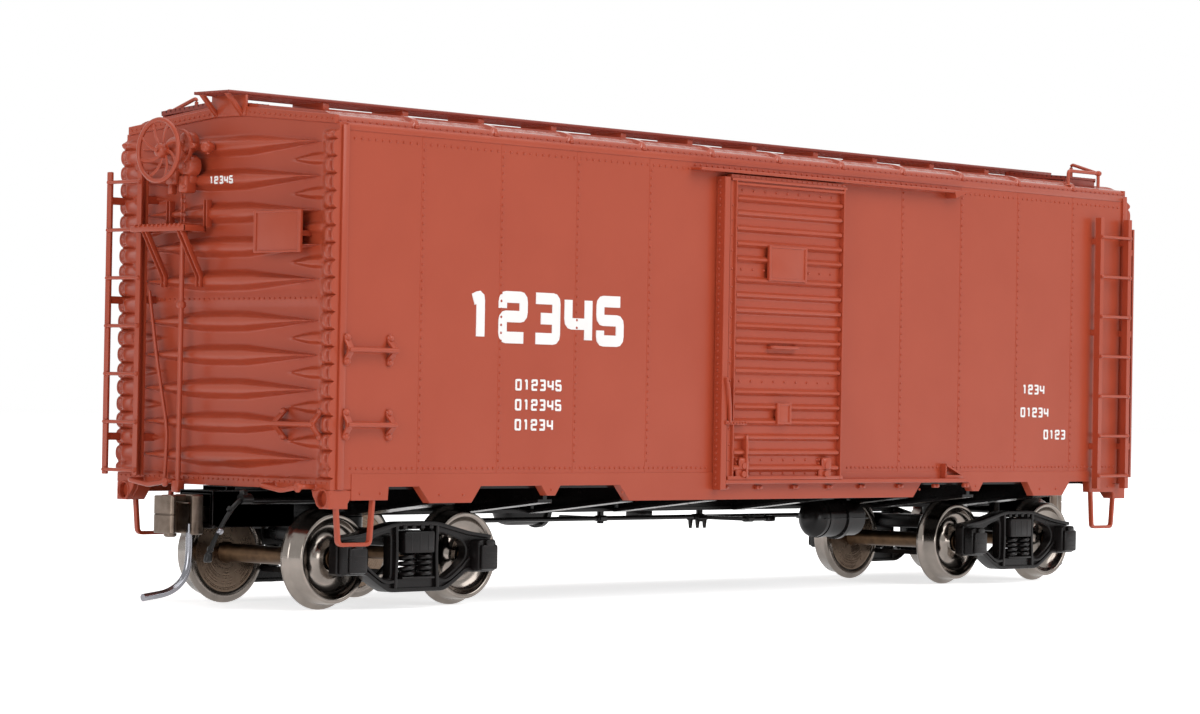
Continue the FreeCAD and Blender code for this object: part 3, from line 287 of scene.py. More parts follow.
@dataclass
class Shape:
    """A growing mesh in millimetres, made of closed shells."""

    points: list[np.ndarray] = field(default_factory=list)
    faces: list[list[int]] = field(default_factory=list)
    count: int = 0

    def add(self, points: np.ndarray, faces: Iterable[Sequence[int]]) -> "Shape":
        """Append points (n, 3) and faces that index them.

        Args:
            points: array (n, 3).
            faces: the points of each face.

        Returns:
            this shape.
        """
        start = self.count
        self.points.append(np.asarray(points, float).reshape(-1, 3))
        self.faces.extend([[start + int(i) for i in face] for face in faces])
        self.count += len(self.points[-1])
        return self

    def rings(self, rings: np.ndarray, closed: bool = False) -> "Shape":
        """Skin a row of closed rings.

        Args:
            rings: array (n, m, 3): n stations of m points each.
            closed: join the last station to the first; otherwise cap both.

        Returns:
            this shape.
        """
        index = np.arange(rings.shape[0] * rings.shape[1]).reshape(rings.shape[:2])
        faces = quads(np.vstack([index, index[:1]]) if closed else index)
        if not closed:
            faces += [index[0, ::-1].tolist(), index[-1].tolist()]
        return self.add(rings, faces)

    def plate(self, outline: Loop, axis: Axis, low: float, high: float, bevel: float = 0.05,
              holes: Sequence[Loop] = ()) -> "Shape":
        """A flat plate with holes and softened edges.

        Each loop gives four rings: inset at the low face, full just above it,
        full just below the high face and inset there; the faces are filled
        between the inset loops.

        Args:
            outline: outer loop.
            axis: direction of the thickness.
            low: one face.
            high: the other face.
            bevel: width of the softened edge.
            holes: inner loops.

        Returns:
            this shape.
        """
        loops = [anticlockwise(outline)] + [anticlockwise(hole) for hole in holes]
        low, high = sorted((low, high))
        depths = np.array([low, low + bevel, high - bevel, high])
        insets = [bevel, 0, 0, bevel]
        points, faces, starts = [], [], []
        total = 0
        for number, loop in enumerate(loops):
            way = 1 if number == 0 else -1
            rings = np.stack([axis.place(offset_loop(loop, way * inset), depth)
                              for inset, depth in zip(insets, depths)])
            index = np.arange(4 * len(loop)).reshape(4, -1) + total
            faces += quads(index)
            points.append(rings.reshape(-1, 3))
            starts.append(index)
            total += index.size
        inner = [offset_loop(loop, bevel if number == 0 else -bevel)
                 for number, loop in enumerate(loops)]
        fill = tessellate_polygon([[Vector((x, y, 0)) for x, y in loop] for loop in inner])
        for layer in (0, 3):
            table = np.concatenate([index[layer] for index in starts])
            faces += [[int(table[i]) for i in triangle] for triangle in fill]
        return self.add(np.vstack(points), faces)

    def block(self, low: Point, high: Point, bevel: float = 0.1, axis: Axis = Axis.Z) -> "Shape":
        """A box between two opposite corners, its edges rounded and its ends softened.

        Args:
            low: one corner.
            high: the opposite corner.
            bevel: radius of the edges, at most 0.45 of the thinnest half.
            axis: direction of the rounded edges.

        Returns:
            this shape.
        """
        low, high = np.minimum(low, high), np.maximum(low, high)
        across, along, through = axis.value
        centre = [(low[i] + high[i]) / 2 for i in (across, along)]
        half = [(high[i] - low[i]) / 2 for i in (across, along)]
        bevel = min(bevel, 0.45 * min(half), 0.45 * (high[through] - low[through]))
        stations = [(bevel, low[through]), (bevel * 0.3, low[through] + bevel * 0.3),
                    (0, low[through] + bevel), (0, high[through] - bevel),
                    (bevel * 0.3, high[through] - bevel * 0.3), (bevel, high[through])]
        rings = [axis.place(rounded_box(half[0] - inset, half[1] - inset, bevel) + centre, depth)
                 for inset, depth in stations]
        return self.rings(np.stack(rings))

    def sweep(self, path: np.ndarray, profile: np.ndarray, normal: Point = (0, 0, 0),
              closed: bool = False) -> "Shape":
        """Carry a closed profile along a path.

        The profile's first coordinate lies along normal x tangent and its
        second along the normal.  Without a given normal, the direction in
        which the path spreads least is used.

        Args:
            path: array (n, 3).
            profile: array (m, 2).
            normal: fixed direction that the path never follows.
            closed: whether the path closes on itself.

        Returns:
            this shape.
        """
        path = np.asarray(path, float)
        up = np.asarray(normal, float)
        if not up.any():
            up = np.linalg.svd(path - path.mean(axis=0))[2][-1]
        if closed:
            tangent = np.roll(path, -1, axis=0) - np.roll(path, 1, axis=0)
        else:
            tangent = np.gradient(path, axis=0)
        tangent /= np.linalg.norm(tangent, axis=1, keepdims=True)
        side = np.cross(up, tangent)
        side /= np.linalg.norm(side, axis=1, keepdims=True)
        upright = np.cross(tangent, side)
        rings = (path[:, None] + profile[None, :, :1] * side[:, None]
                 + profile[None, :, 1:] * upright[:, None])
        return self.rings(rings, closed)

    def wire(self, corners: Sequence[Point], radius: float, bend: float = 0.5,
             sides: int = 8) -> "Shape":
        """A bent round wire through corners, with rounded bends.

        Args:
            corners: points that the wire bends at or ends on.
            radius: half its thickness.
            bend: how far from a corner a bend starts.
            sides: facets round the wire.

        Returns:
            this shape.
        """
        path = rounded(corners, bend) if len(corners) > 2 else np.linspace(*corners, 3)
        return self.sweep(path, ellipse(radius, radius, sides))

    def bar(self, start: Point, stop: Point, width: float, height: float,
            normal: Point = (0, 0, 1)) -> "Shape":
        """A straight rectangular bar, height along the normal.

        Args:
            start: middle of one end.
            stop: middle of the other.
            width: size across the normal.
            height: size along the normal.
            normal: direction of the height.

        Returns:
            this shape.
        """
        corners = np.array([(width, -height), (width, height), (-width, height),
                            (-width, -height)]) / 2
        return self.sweep(np.array([start, stop], float), corners, normal)

    def lathe(self, profile: Loop, centre: Point, axis: Axis, sides: int = 32,
              smooth: int = 0) -> "Shape":
        """Turn a closed profile (along, radius) round an axis through centre.

        Args:
            profile: corners from one end of the axis to the other.
            centre: a point on the axis.
            axis: direction of the axis.
            sides: facets round the axis.
            smooth: times the profile's corners are cut off at a quarter.

        Returns:
            this shape.
        """
        line = np.asarray(profile, float)
        for _ in range(smooth):
            cuts = np.stack([0.75 * line[:-1] + 0.25 * line[1:],
                             0.25 * line[:-1] + 0.75 * line[1:]], axis=1).reshape(-1, 2)
            line = np.vstack([line[:1], cuts, line[-1:]])
        flat = line[:, 1][:, None, None] * ellipse(1, 1, sides)[None]
        across, along, through = axis.value
        rings = axis.place(flat + np.array([centre[across], centre[along]]),
                           centre[through] + line[:, :1])
        return self.rings(rings)

    def domes(self, places: Sequence, axis: Axis, way: int, radius: float,
              height: float) -> "Shape":
        """Rivet heads: six-sided domes, radius shrinking as height rises.

        Args:
            places: the heads' feet, as points.
            axis: direction that the heads point along.
            way: 1 or -1 along that axis.
            radius: radius of a head at its foot.
            height: height of a head.

        Returns:
            this shape.
        """
        places = np.asarray(places, float).reshape(-1, 3)
        levels = [(1.0, -0.02), (0.86, 0.55 * height), (0.4, height)]
        rings = np.stack([axis.place(ellipse(radius * share, radius * share, 6), way * level)
                          for share, level in levels])
        index = np.arange(18).reshape(3, 6)
        faces = quads(index) + [index[0, ::-1].tolist(), index[-1].tolist()]
        for place in places:
            self.add(rings.reshape(-1, 3) + place, faces)
        return self

    def relief(self, across: np.ndarray, along: np.ndarray, height: Callable, axis: Axis,
               face: float, back: float) -> "Shape":
        """A sheet whose face is pressed to a height field, with a flat back.

        Args:
            across: increasing coordinates along the first flat direction.
            along: increasing coordinates along the second, or an array with a
                row of them for each coordinate across.
            height: function (across, along) giving how far the face is pressed
                out from face, away from back.
            axis: direction of the thickness.
            face: coordinate of the unpressed face.
            back: coordinate of the back.

        Returns:
            this shape.
        """
        v = np.broadcast_to(along, (len(across), np.shape(along)[-1]))
        u = np.broadcast_to(np.asarray(across)[:, None], v.shape)
        way = math.copysign(1, face - back)
        front = axis.place(np.stack([u, v], axis=-1), face + way * height(u, v))
        count = front.shape[0] * front.shape[1]
        index = np.arange(count).reshape(front.shape[:2])
        edge = np.concatenate([index[:, 0], index[-1, 1:], index[-2::-1, -1], index[0, -2:0:-1]])
        rim = front.reshape(-1, 3)[edge].copy()
        rim[:, axis.value[2]] = back
        low = np.arange(len(edge)) + count
        faces = quads(index.T, False) + quads(np.stack([edge, low])) + [low[::-1].tolist()]
        return self.add(np.vstack([front.reshape(-1, 3), rim]), faces)

    def turned(self) -> "Shape":
        """A copy of this shape, half a turn round the middle of the car."""
        return Shape([points * (-1, -1, 1) for points in self.points],
                     [list(face) for face in self.faces], self.count)

    def joined(self, other: "Shape") -> "Shape":
        """This shape with another one added."""
        return self.add(np.vstack(other.points), other.faces)

    def both(self) -> "Shape":
        """This shape with its half-turned copy."""
        return self.joined(self.turned())

    def moved(self, x: float) -> "Shape":
        """This shape moved along the car."""
        self.points = [points + (x, 0, 0) for points in self.points]
        return self


def row(start: Point, stop: Point, pitch: float) -> np.ndarray:
    """Points from start to stop, evenly spaced at about pitch."""
    gap = math.dist(start, stop)
    return np.linspace(start, stop, max(2, round(gap / pitch) + 1))


# ------------------------------------------------------------------ finishes
def linear(code: str) -> tuple[float, float, float, float]:
    """A "#rrggbb" sRGB colour as linear red, green, blue and alpha.

    Args:
        code: the colour.

    Returns:
        the four values, 0 to 1.
    """
    parts = [int(code[i:i + 2], 16) / 255 for i in (1, 3, 5)]
    red, green, blue = (c / 12.92 if c <= 0.04045 else ((c + 0.055) / 1.055) ** 2.4
                        for c in parts)
    return red, green, blue, 1.0


def add_node(tree: Tree, kind: str, links: dict | None = None,
             sockets: dict | None = None, **settings) -> bpy.types.Node:
    """Add a node to a material or world.

    Args:
        tree: the node tree.
        kind: the node's type name.
        links: input name or number to the output that feeds it.
        sockets: input name or number to its value.
        **settings: attributes of the node.

    Returns:
        the node.
    """
    made = tree.nodes.new(kind)
    for name, value in settings.items():
        setattr(made, name, value)
    for name, value in (sockets or {}).items():
        made.inputs[name].default_value = value
    for name, source in (links or {}).items():
        tree.links.new(source, made.inputs[name])
    return made


@dataclass(frozen=True)
class Finish:
    """A finish worked out from noise and grain of real sizes.

    colour and shade are the two ends of a faint mottle mottle_mm across;
    roughness wanders between its two values over the same patches; grain_mm
    and relief_mm are the width and depth of the surface's texture.
    """

    name: str = "plain"
    slot: str = ""
    colour: str = "#808080"
    shade: str = "#707070"
    roughness: Pair = (0.4, 0.5)
    metallic: float = 0.0
    ior: float = 1.5
    mottle_mm: float = 5.0
    grain_mm: float = 0.15
    relief_mm: float = 0.004

    def height(self, tree: Tree, place: Socket) -> Socket:
        """The texture's height, 0 to 1: fine noise unless a finish says otherwise."""
        return add_node(tree, "ShaderNodeTexNoise", {"Vector": place},
                        {"Scale": 1 / self.grain_mm, "Detail": 3.0, "Roughness": 0.6}).outputs[0]

    def tint(self, tree: Tree, place: Socket) -> Socket:
        """Where the colour and the roughness stand between their two ends."""
        return add_node(tree, "ShaderNodeTexNoise", {"Vector": place},
                        {"Scale": 1 / self.mottle_mm, "Detail": 4.0, "Roughness": 0.55}).outputs[0]

    def material(self) -> bpy.types.Material:
        """Build the material: mottled colour, wandering gloss, fine relief.

        Returns:
            the material.
        """
        made = bpy.data.materials.new(self.name)
        made.use_nodes = True
        tree = made.node_tree
        tree.nodes.clear()
        coords = add_node(tree, "ShaderNodeTexCoord").outputs["Object"]
        place = add_node(tree, "ShaderNodeVectorMath", {0: coords}, {3: 1 / MM},
                         operation="SCALE").outputs[0]
        share = self.tint(tree, place)
        even = add_node(tree, "ShaderNodeMapRange", {"Value": share},
                        {"From Min": 0.3, "From Max": 0.7}).outputs[0]
        colour = add_node(tree, "ShaderNodeMix", {0: even},
                          {6: linear(self.colour), 7: linear(self.shade)}, data_type="RGBA")
        gloss = add_node(tree, "ShaderNodeMapRange", {"Value": share},
                         {"From Min": 0.3, "From Max": 0.7, "To Min": self.roughness[0],
                          "To Max": self.roughness[1]}).outputs[0]
        relief = add_node(tree, "ShaderNodeBump", {"Height": self.height(tree, place)},
                          {"Strength": 1.0, "Distance": self.relief_mm * MM})
        sockets = {"Metallic": self.metallic}
        if self.metallic < 0.5:
            sockets["IOR"] = self.ior
        shader = add_node(tree, "ShaderNodeBsdfPrincipled",
                          {"Base Color": colour.outputs[2], "Roughness": gloss,
                           "Normal": relief.outputs[0]}, sockets)
        add_node(tree, "ShaderNodeOutputMaterial", {"Surface": shader.outputs[0]})
        return made


@dataclass(frozen=True)
class TurnedFinish(Finish):
    """A lathe-turned metal: rings as fine as groove_mm round the axle.

    The rings follow the mesh's "turning" attribute, which is the distance
    from the axle in millimetres.
    """

    groove_mm: float = 0.16

    def height(self, tree: Tree, place: Socket) -> Socket:
        """Rings: noise read along the distance from the axle alone.

        Args:
            tree: the material's node tree.
            place: position, in millimetres.

        Returns:
            the height's output.
        """
        turning = add_node(tree, "ShaderNodeAttribute", attribute_name="turning").outputs["Fac"]
        return add_node(tree, "ShaderNodeTexNoise", {"W": turning},
                        {"Scale": 1 / self.groove_mm, "Detail": 2.0},
                        noise_dimensions="1D").outputs[0]


@dataclass(frozen=True)
class PlankFinish(Finish):
    """Boards across the car, plank_mm wide, with dark joints and grain."""

    plank_mm: float = 1.75

    def height(self, tree: Tree, place: Socket) -> Socket:
        """Flat boards that drop into a joint: a clipped sine along the car.

        Args:
            tree: the material's node tree.
            place: position, in millimetres.

        Returns:
            the height's output.
        """
        wave = add_node(tree, "ShaderNodeTexWave", {"Vector": place},
                        {"Scale": math.pi / 10 / self.plank_mm}, wave_type="BANDS",
                        bands_direction="X").outputs["Fac"]
        return add_node(tree, "ShaderNodeMapRange", {"Value": wave},
                        {"From Min": 0.0, "From Max": 0.08}).outputs[0]

    def tint(self, tree: Tree, place: Socket) -> Socket:
        """Grain: noise stretched along the boards.

        Args:
            tree: the material's node tree.
            place: position, in millimetres.

        Returns:
            the grain's output.
        """
        long = add_node(tree, "ShaderNodeMapping", {"Vector": place}, {"Scale": (2.4, 0.12, 1.0)})
        return add_node(tree, "ShaderNodeTexNoise", {"Vector": long.outputs[0]},
                        {"Scale": 1.0, "Detail": 5.0}).outputs[0]


# Styrene sprayed with satin freight-car enamel: an even brick red with a soft
# sheen, a hint of orange peel and no texture that the eye picks out.
ENAMEL = Finish("satin_enamel_on_styrene", "body_paint", "#a9472e", "#a34229", (0.28, 0.36),
                ior=1.4, mottle_mm=9.0, grain_mm=0.22, relief_mm=0.002)
# The same enamel on the roof, where it lies wetter and dries to more of a gloss.
ROOF_ENAMEL = Finish("gloss_enamel_on_styrene_roof", "body_paint", "#a9472e", "#a34229",
                     (0.13, 0.2), ior=1.5, mottle_mm=9.0, grain_mm=0.3, relief_mm=0.002)
# The same enamel on etched brass walkways, duller, and darker than the body enamel as painted shade
# for the grid's shadowed bars.
SHADED_ENAMEL_ON_BRASS = Finish("satin_enamel_on_brass_painted_shade", "body_paint", "#8b3423", "#7f2c1b",
                         (0.34, 0.46), ior=1.48, mottle_mm=4.0, grain_mm=0.12, relief_mm=0.003)
# Engineering acetal moulded black: waxy, low sheen, very fine grain.
ACETAL = Finish("moulded_black_acetal", "black_plastic", "#0e0b0b", "#141010", (0.24, 0.38),
                ior=1.3, mottle_mm=3.0, grain_mm=0.1, relief_mm=0.006)
# Black styrene of the underframe, smoother than the trucks and a little glossy.
BLACK_STYRENE = Finish("moulded_black_styrene", "black_plastic", "#0c0909", "#120e0e",
                       (0.18, 0.3), ior=1.33, mottle_mm=5.0, grain_mm=0.15, relief_mm=0.003)
# Nickel-plated brass turned on a lathe: polished and warm, with faint rings; its colour is darker
# than bare nickel, a painted dark reflection of the room round it.
NICKEL = TurnedFinish("turned_nickel_painted_dark_reflection", "wheel_metal", "#8a827b", "#77706a", (0.12, 0.22),
                      metallic=1.0, mottle_mm=2.5, relief_mm=0.0012, groove_mm=0.2)
# The wheel backs, faced off with a coarse cut and left brownish.
FACED_NICKEL = TurnedFinish("faced_nickel_back", "wheel_metal", "#5f5044", "#7d6c5d",
                            (0.22, 0.34), metallic=1.0, mottle_mm=1.6, relief_mm=0.03,
                            groove_mm=0.3)
# Chemically browned steel of the axles: dark bronze with a soft streak of light.
BROWNED_STEEL = Finish("browned_axle_steel", "axle_metal", "#4b3a2c", "#66503c", (0.3, 0.44),
                       metallic=1.0, mottle_mm=1.2, grain_mm=0.1, relief_mm=0.004)
# Die-cast zinc tumbled grey-brown: dull sheen, granular skin, brighter rubs.
ZINC = Finish("tumbled_zinc_casting", "coupler_metal", "#5c5047", "#75685e", (0.26, 0.42),
              metallic=1.0, mottle_mm=0.9, grain_mm=0.09, relief_mm=0.008)
# Drawn spring wire with a bright plating: near-mirror, its colour darkened below the plating's own as
# a painted dark reflection of the room round it.
BRIGHT_WIRE = Finish("plated_wire_painted_dark_reflection", "steel", "#86868b", "#77777c", (0.1, 0.18),
                     metallic=1.0, mottle_mm=1.5, grain_mm=0.3, relief_mm=0.001)
# Cold-rolled steel of the ballast weight: grey, lightly scuffed.
BALLAST_STEEL = Finish("cold_rolled_ballast_steel", "steel", "#7d7c7a", "#8f8d89", (0.35, 0.5),
                       metallic=1.0, mottle_mm=6.0, grain_mm=0.3, relief_mm=0.004)
# Moulded black rubber: matt with a faint bloom.
RUBBER = Finish("moulded_rubber", "hose_rubber", "#0a0909", "#100e0e", (0.26, 0.36), ior=1.33,
                mottle_mm=1.5, grain_mm=0.08, relief_mm=0.006)
# Scribed styrene floor painted as worn boards.
DECK = PlankFinish("painted_plank_deck", "body_paint", "#8a6a50", "#6e5340", (0.6, 0.75),
                   relief_mm=0.08)
# Pad-printed white ink: a thin, flat, slightly satin film.
WHITE_INK = Finish("white_printing_ink", "body_paint", "#f4f3f2", "#efeeec", (0.42, 0.5),
                   mottle_mm=4.0, grain_mm=0.2, relief_mm=0.001)


# ------------------------------------------------------------------ workshop
@dataclass
class Workshop:
    """Turns shapes into dressed objects, and dresses frame nodes."""

    nodes: dict[str, bpy.types.Object]
    made: dict[str, bpy.types.Material] = field(default_factory=dict)

    def material(self, finish: Finish) -> bpy.types.Material:
        """The finish's material, built on first use.

        Args:
            finish: what to build.

        Returns:
            the material.
        """
        if finish.name not in self.made:
            self.made[finish.name] = finish.material()
        return self.made[finish.name]

    def piece(self, name: str, shape: Shape, body: str, finish: Finish,
              replaces: Sequence[str] = (), sharp: float = 34.0,
              axle: Pair | None = None) -> None:
        """Make a shape into a piece of the car.

        Args:
            name: the piece's name.
            shape: its shells, in millimetres.
            body: the frame body that it rides on.
            finish: what it is made of.
            replaces: frame nodes that it stands for.
            sharp: edges bent by more degrees than this stay crisp.
            axle: (x, z) of the axle, for a finish with turned rings.
        """
        points = np.vstack(shape.points)
        mesh = bpy.data.meshes.new(name)
        mesh.from_pydata((points * MM).tolist(), [], shape.faces)
        work = bmesh.new()
        work.from_mesh(mesh)
        bmesh.ops.recalc_face_normals(work, faces=work.faces)
        work.to_mesh(mesh)
        work.free()
        mesh.shade_smooth()
        mesh.set_sharp_from_angle(angle=math.radians(sharp))
        if axle is not None:
            turning = mesh.attributes.new("turning", "FLOAT", "POINT")
            away = np.hypot(points[:, 0] - axle[0], points[:, 2] - axle[1])
            turning.data.foreach_set("value", away.astype(np.float32))
        mesh.materials.append(self.material(finish))
        made = bpy.data.objects.new(name, mesh)
        bpy.context.scene.collection.objects.link(made)
        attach(made, body)
        if replaces:
            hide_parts(*replaces)
        triangles = sum(len(face) - 2 for face in shape.faces)
        LOG.info("%s: %d triangles on %s, %s", name, triangles, body, finish.name)

    def dress(self, finish: Finish, *nodes: str) -> None:
        """Give frame nodes that stay in view a finish.

        Args:
            finish: what they are made of.
            *nodes: their names.
        """
        for name in nodes:
            item = self.nodes[name]
            if not item.material_slots:
                item.data.materials.append(None)
            for slot in item.material_slots:
                slot.link = "OBJECT"
                slot.material = self.material(finish)
            LOG.info("%s: frame node, %s", name, finish.name)


# --------------------------------------------------------------- body panels
@dataclass
class Sides:
    """The riveted steel sides, with their tabbed sills and door posts.

    sill holds the heights of the deep tabs, the small tabs and the edge
    between them; doorway holds half its width, its foot and its head.
    """

    end: float = 69.5
    face: float = SIDE
    wall: float = 1.0
    top: float = 50.5
    sill: Point = (11.45, 12.115, 13.2)
    doorway: Point = (9.8, 16.0, 47.6)
    seams: tuple[float, ...] = (22.9, 34.75, 46.6, 58.45)
    rivet_pitch: float = 0.85
    rivet: Pair = (0.17, 0.12)

    def lower_edge(self) -> list[Pair]:
        """One half of the lower edge, from the middle out, as (x, z).

        Returns:
            the points of the edge.
        """
        deep, tab, shallow = self.sill
        return [(25.7, deep), (27.3, shallow), (36.9, shallow), (37.7, tab), (39.0, tab),
                (39.9, shallow), (49.2, shallow), (50.6, deep), (56.8, deep), (58.4, shallow),
                (62.8, shallow), (62.9, 11.815), (68.1, 11.815), (68.1, UNDERSIDE),
                (self.end, UNDERSIDE)]

    def sheet(self) -> Shape:
        """The side sheet with its doorway.

        Returns:
            the right side's sheet.
        """
        outline = mirrored(self.lower_edge() + [(self.end, self.top)])
        half, low, high = self.doorway
        return Shape().plate(outline, Axis.Y, self.face, self.face + self.wall, 0.06,
                             [rectangle(-half, half, low, high)])

    def laps(self) -> Shape:
        """The sill plate and the lapped edges of the panels, a hair proud.

        Returns:
            the laps of the right side.
        """
        sill = mirrored(self.lower_edge()[:-2] + [(68.1, 14.55)])
        shape = Shape().plate(sill, Axis.Y, self.face - 0.09, self.face + 0.05, 0.03)
        for x in self.seams:
            for way in (-1, 1):
                lap = rectangle(way * x - 0.3, way * x + 0.3, 14.5, self.top - 0.8)
                shape.plate(lap, Axis.Y, self.face - 0.04, self.face + 0.05, 0.03)
        return shape.block((-self.end, self.face - 0.1, 49.8), (self.end, self.face + 0.05, 50.5),
                           0.05, Axis.X)

    def rivets(self) -> Shape:
        """Rivet rows along the top, the sill and every panel seam.

        Returns:
            the rivet heads of the right side.
        """
        places = []
        for z, reach, pitch in ((49.0, 68.4, 1.0), (49.5, 68.4, 1.0), (15.1, 68.2, 0.8)):
            line = row((-reach, self.face, z), (reach, self.face, z), pitch)
            by_track, by_door = np.abs(line[:, 0] - 7.6) < 23.9, np.abs(line[:, 0]) < 12.2
            shown = {49.0: ~by_track, 49.5: by_track, 15.1: ~by_door}[z]
            places.append(line[shown])
        for x in self.seams:
            for way in (-1, 1):
                places.append(row((way * x, self.face - 0.04, 15.9),
                                  (way * x, self.face - 0.04, 48.4), self.rivet_pitch))
        for x, z in ((51.9, 12.3), (55.4, 12.3), (38.35, 12.75), (26.9, 12.4), (66.9, 12.5),
                     (64.0, 12.5)):
            places.append(np.array([(x, self.face - 0.09, z), (-x, self.face - 0.09, z)]))
        return Shape().domes(np.vstack(places), Axis.Y, -1, *self.rivet)

    def posts(self) -> Shape:
        """The door posts: a deep one at the left with rivets, a flat one at the right.

        Returns:
            both posts of the right side.
        """
        shape = Shape()
        for left, right, low, proud in ((-11.6, -10.62, 12.6, 1.25), (10.6, 11.7, 13.8, 0.12)):
            shape.plate(rectangle(left, right, low, 48.4), Axis.Y, self.face - proud,
                        self.face + 0.02, 0.06)
        shape.domes(row((-11.6, self.face - 0.5, 13.2), (-11.6, self.face - 0.5, 48.0), 0.72),
                    Axis.X, -1, 0.2, 0.16)
        return shape.domes(row((11.15, self.face - 0.12, 14.3), (11.15, self.face - 0.12, 47.4),
                               0.8), Axis.Y, -1, 0.15, 0.11)

    def build(self, shop: Workshop) -> None:
        """Make both sides.

        Args:
            shop: where the pieces are made.
        """
        side = self.sheet().joined(self.laps()).joined(self.posts())
        shop.piece("side_panel_right", side, "carbody", ENAMEL, ["side_right"])
        shop.piece("side_panel_left", side.turned(), "carbody", ENAMEL, ["side_left"])
        rivets = self.rivets()
        shop.piece("side_rivets_right", rivets, "carbody", ENAMEL)
        shop.piece("side_rivets_left", rivets.turned(), "carbody", ENAMEL)


@dataclass
class Ends:
    """The pressed steel ends: two stacks of tapered ribs and corner darts.

    lowest holds the lowest rib of each stack; crest and foot are half a rib's
    width at its top and at the sheet, and proud is its height.
    """

    face: float = END
    half_width: float = -SIDE
    bottom: float = UNDERSIDE
    eave: float = 50.5
    peak: float = 52.05
    lowest: Pair = (16.0, 34.46)
    pitch: float = 3.55
    proud: float = 1.15
    crest: float = 0.26
    foot: float = 1.22

    def middles(self) -> np.ndarray:
        """Heights of the ten rib centres."""
        return np.concatenate([low + self.pitch * np.arange(5) for low in self.lowest])

    def pressing(self, y: np.ndarray, z: np.ndarray) -> np.ndarray:
        """How far the sheet is pressed out.

        A main rib is a rounded crest between two slopes, both drawn in towards
        the corners.  A dart between two ribs swells from nothing at |y| = 9.2,
        hollow along its middle.  The corner strip is a row of lobes, one to
        each rib and each dart, with an upright dimple at the very corner.

        Args:
            y: places across the end.
            z: heights.

        Returns:
            array of depths, in millimetres.
        """
        away = np.abs(y)
        narrow = self.narrow(y)
        out = np.zeros_like(y)
        for middle in self.middles():
            crest, foot = self.crest * narrow, self.foot * narrow
            slope = ramp((foot - np.abs(z - middle)) / (foot - crest), 0, 1)
            out = np.maximum(out, self.proud * slope * (1 - ramp(away, 12.6, 14.4)))
        for low in self.lowest:
            for number in range(4):
                middle = low + self.pitch * (number + 0.5)
                width = 0.1 + 0.62 * ramp(away, 9.0, 14.0)
                share = np.abs(z - middle) / width
                dart = 0.75 * bump(share, 1.0) - 0.3 * bump(share, 0.55) * ramp(away, 10.5, 13.0)
                out = np.maximum(out, dart * ramp(away, 9.2, 13.4) * (1 - ramp(away, 14.6, 15.8)))
        phase = (z - self.lowest[0]) / (self.pitch / 2)
        phase = phase - np.round(phase)
        lobe = 0.1 + 0.72 * np.sqrt(np.clip(1 - (2 * np.abs(phase)) ** 2.4, 0, 1))
        dimple = 0.4 * bump(away - 16.35, 0.3) * ramp(0.36 - np.abs(phase), 0, 0.1)
        out = np.maximum(out, ramp(away, 14.2, 15.9) * lobe) - dimple
        seam = bump(z - 32.55, 1.0) * 0.16 * (away < 14.3)
        sill = (1 - ramp(z, 13.9, 14.1)) * 0.5
        return out * ramp(z, 14.0, 14.4) * (1 - ramp(z, 49.3, 49.9)) + seam + sill

    def narrow(self, y: np.ndarray) -> np.ndarray:
        """Share of a rib's full height left at y: 1 in the middle, a point near a corner."""
        return 1 - 0.99 * np.clip((np.abs(y) - 3.3) / 10.9, 0, 1)

    def panel(self) -> Shape:
        """One end sheet, pressed on its outer face.

        The rows of the mesh follow the slopes of the ribs, with a fan of rows
        between one rib and the next.

        Returns:
            the brake end's sheet.
        """
        y = np.linspace(-self.half_width, self.half_width, 226)
        narrow = self.narrow(y)[:, None]
        slope = np.linspace(self.crest, self.foot, 6)
        edges = np.concatenate([-slope[::-1], [0], slope])
        rows = [middle + narrow * edges for middle in self.middles()]
        parts = [np.linspace(np.full(len(y), self.bottom), rows[0][:, 0], 14, axis=1)]
        for number, here in enumerate(rows):
            parts.append(here[:, 1:-1])
            if number + 1 < len(rows):
                parts.append(np.linspace(here[:, -1], rows[number + 1][:, 0], 25, axis=1))
        brow = self.peak - (self.peak - self.eave) * np.minimum(np.abs(y) / 15.2, 1)
        parts.append(np.linspace(rows[-1][:, -1], brow, 14, axis=1))
        return Shape().relief(y, np.hstack(parts), self.pressing, Axis.X, self.face,
                              self.face + 1.0)

    def trim(self) -> Shape:
        """Corner strips that wrap round onto the sides, and the rivets.

        Returns:
            the brake end's strips, fascia and rivets.
        """
        shape = Shape()
        for way in (-1, 1):
            shape.block((self.face + 0.3, way * (self.half_width - 0.05), self.bottom),
                        (self.face + 1.15, way * (self.half_width + 0.25), 50.3), 0.08)
            shape.domes(row((self.face - 0.3, way * 16.1, 31.4), (self.face - 0.3, way * 16.1, 33.7),
                            1.1), Axis.X, -1, 0.13, 0.1)
        lines = [row((self.face - 0.16, -13.9, 32.55), (self.face - 0.16, 13.9, 32.55), 0.8),
                 row((self.face - 0.5, -16.3, 13.6), (self.face - 0.5, 16.3, 13.6), 0.8)]
        front = self.face - 0.25
        fascia = [(-16.45, 50.4), (0, 51.95), (16.45, 50.4), (16.45, 51.3), (0, 53.0), (-16.45, 51.3)]
        shape.plate(fascia, Axis.X, front, self.face + 0.3, 0.05)
        for way in (-1, 1):
            lines.append(row((front, way * 3.2, 52.1), (front, way * 15.9, 50.9), 0.8))
        return shape.domes(np.vstack(lines), Axis.X, -1, 0.14, 0.12)

    def build(self, shop: Workshop) -> None:
        """Make both ends.

        Args:
            shop: where the pieces are made.
        """
        panel, trim = self.panel(), self.trim()
        shop.piece("end_panel_brake", panel, "carbody", ENAMEL, ["end_brake"], 66)
        shop.piece("end_panel_plain", panel.turned(), "carbody", ENAMEL, ["end_plain"], 66)
        shop.piece("end_trim", trim.both(), "carbody", ENAMEL)


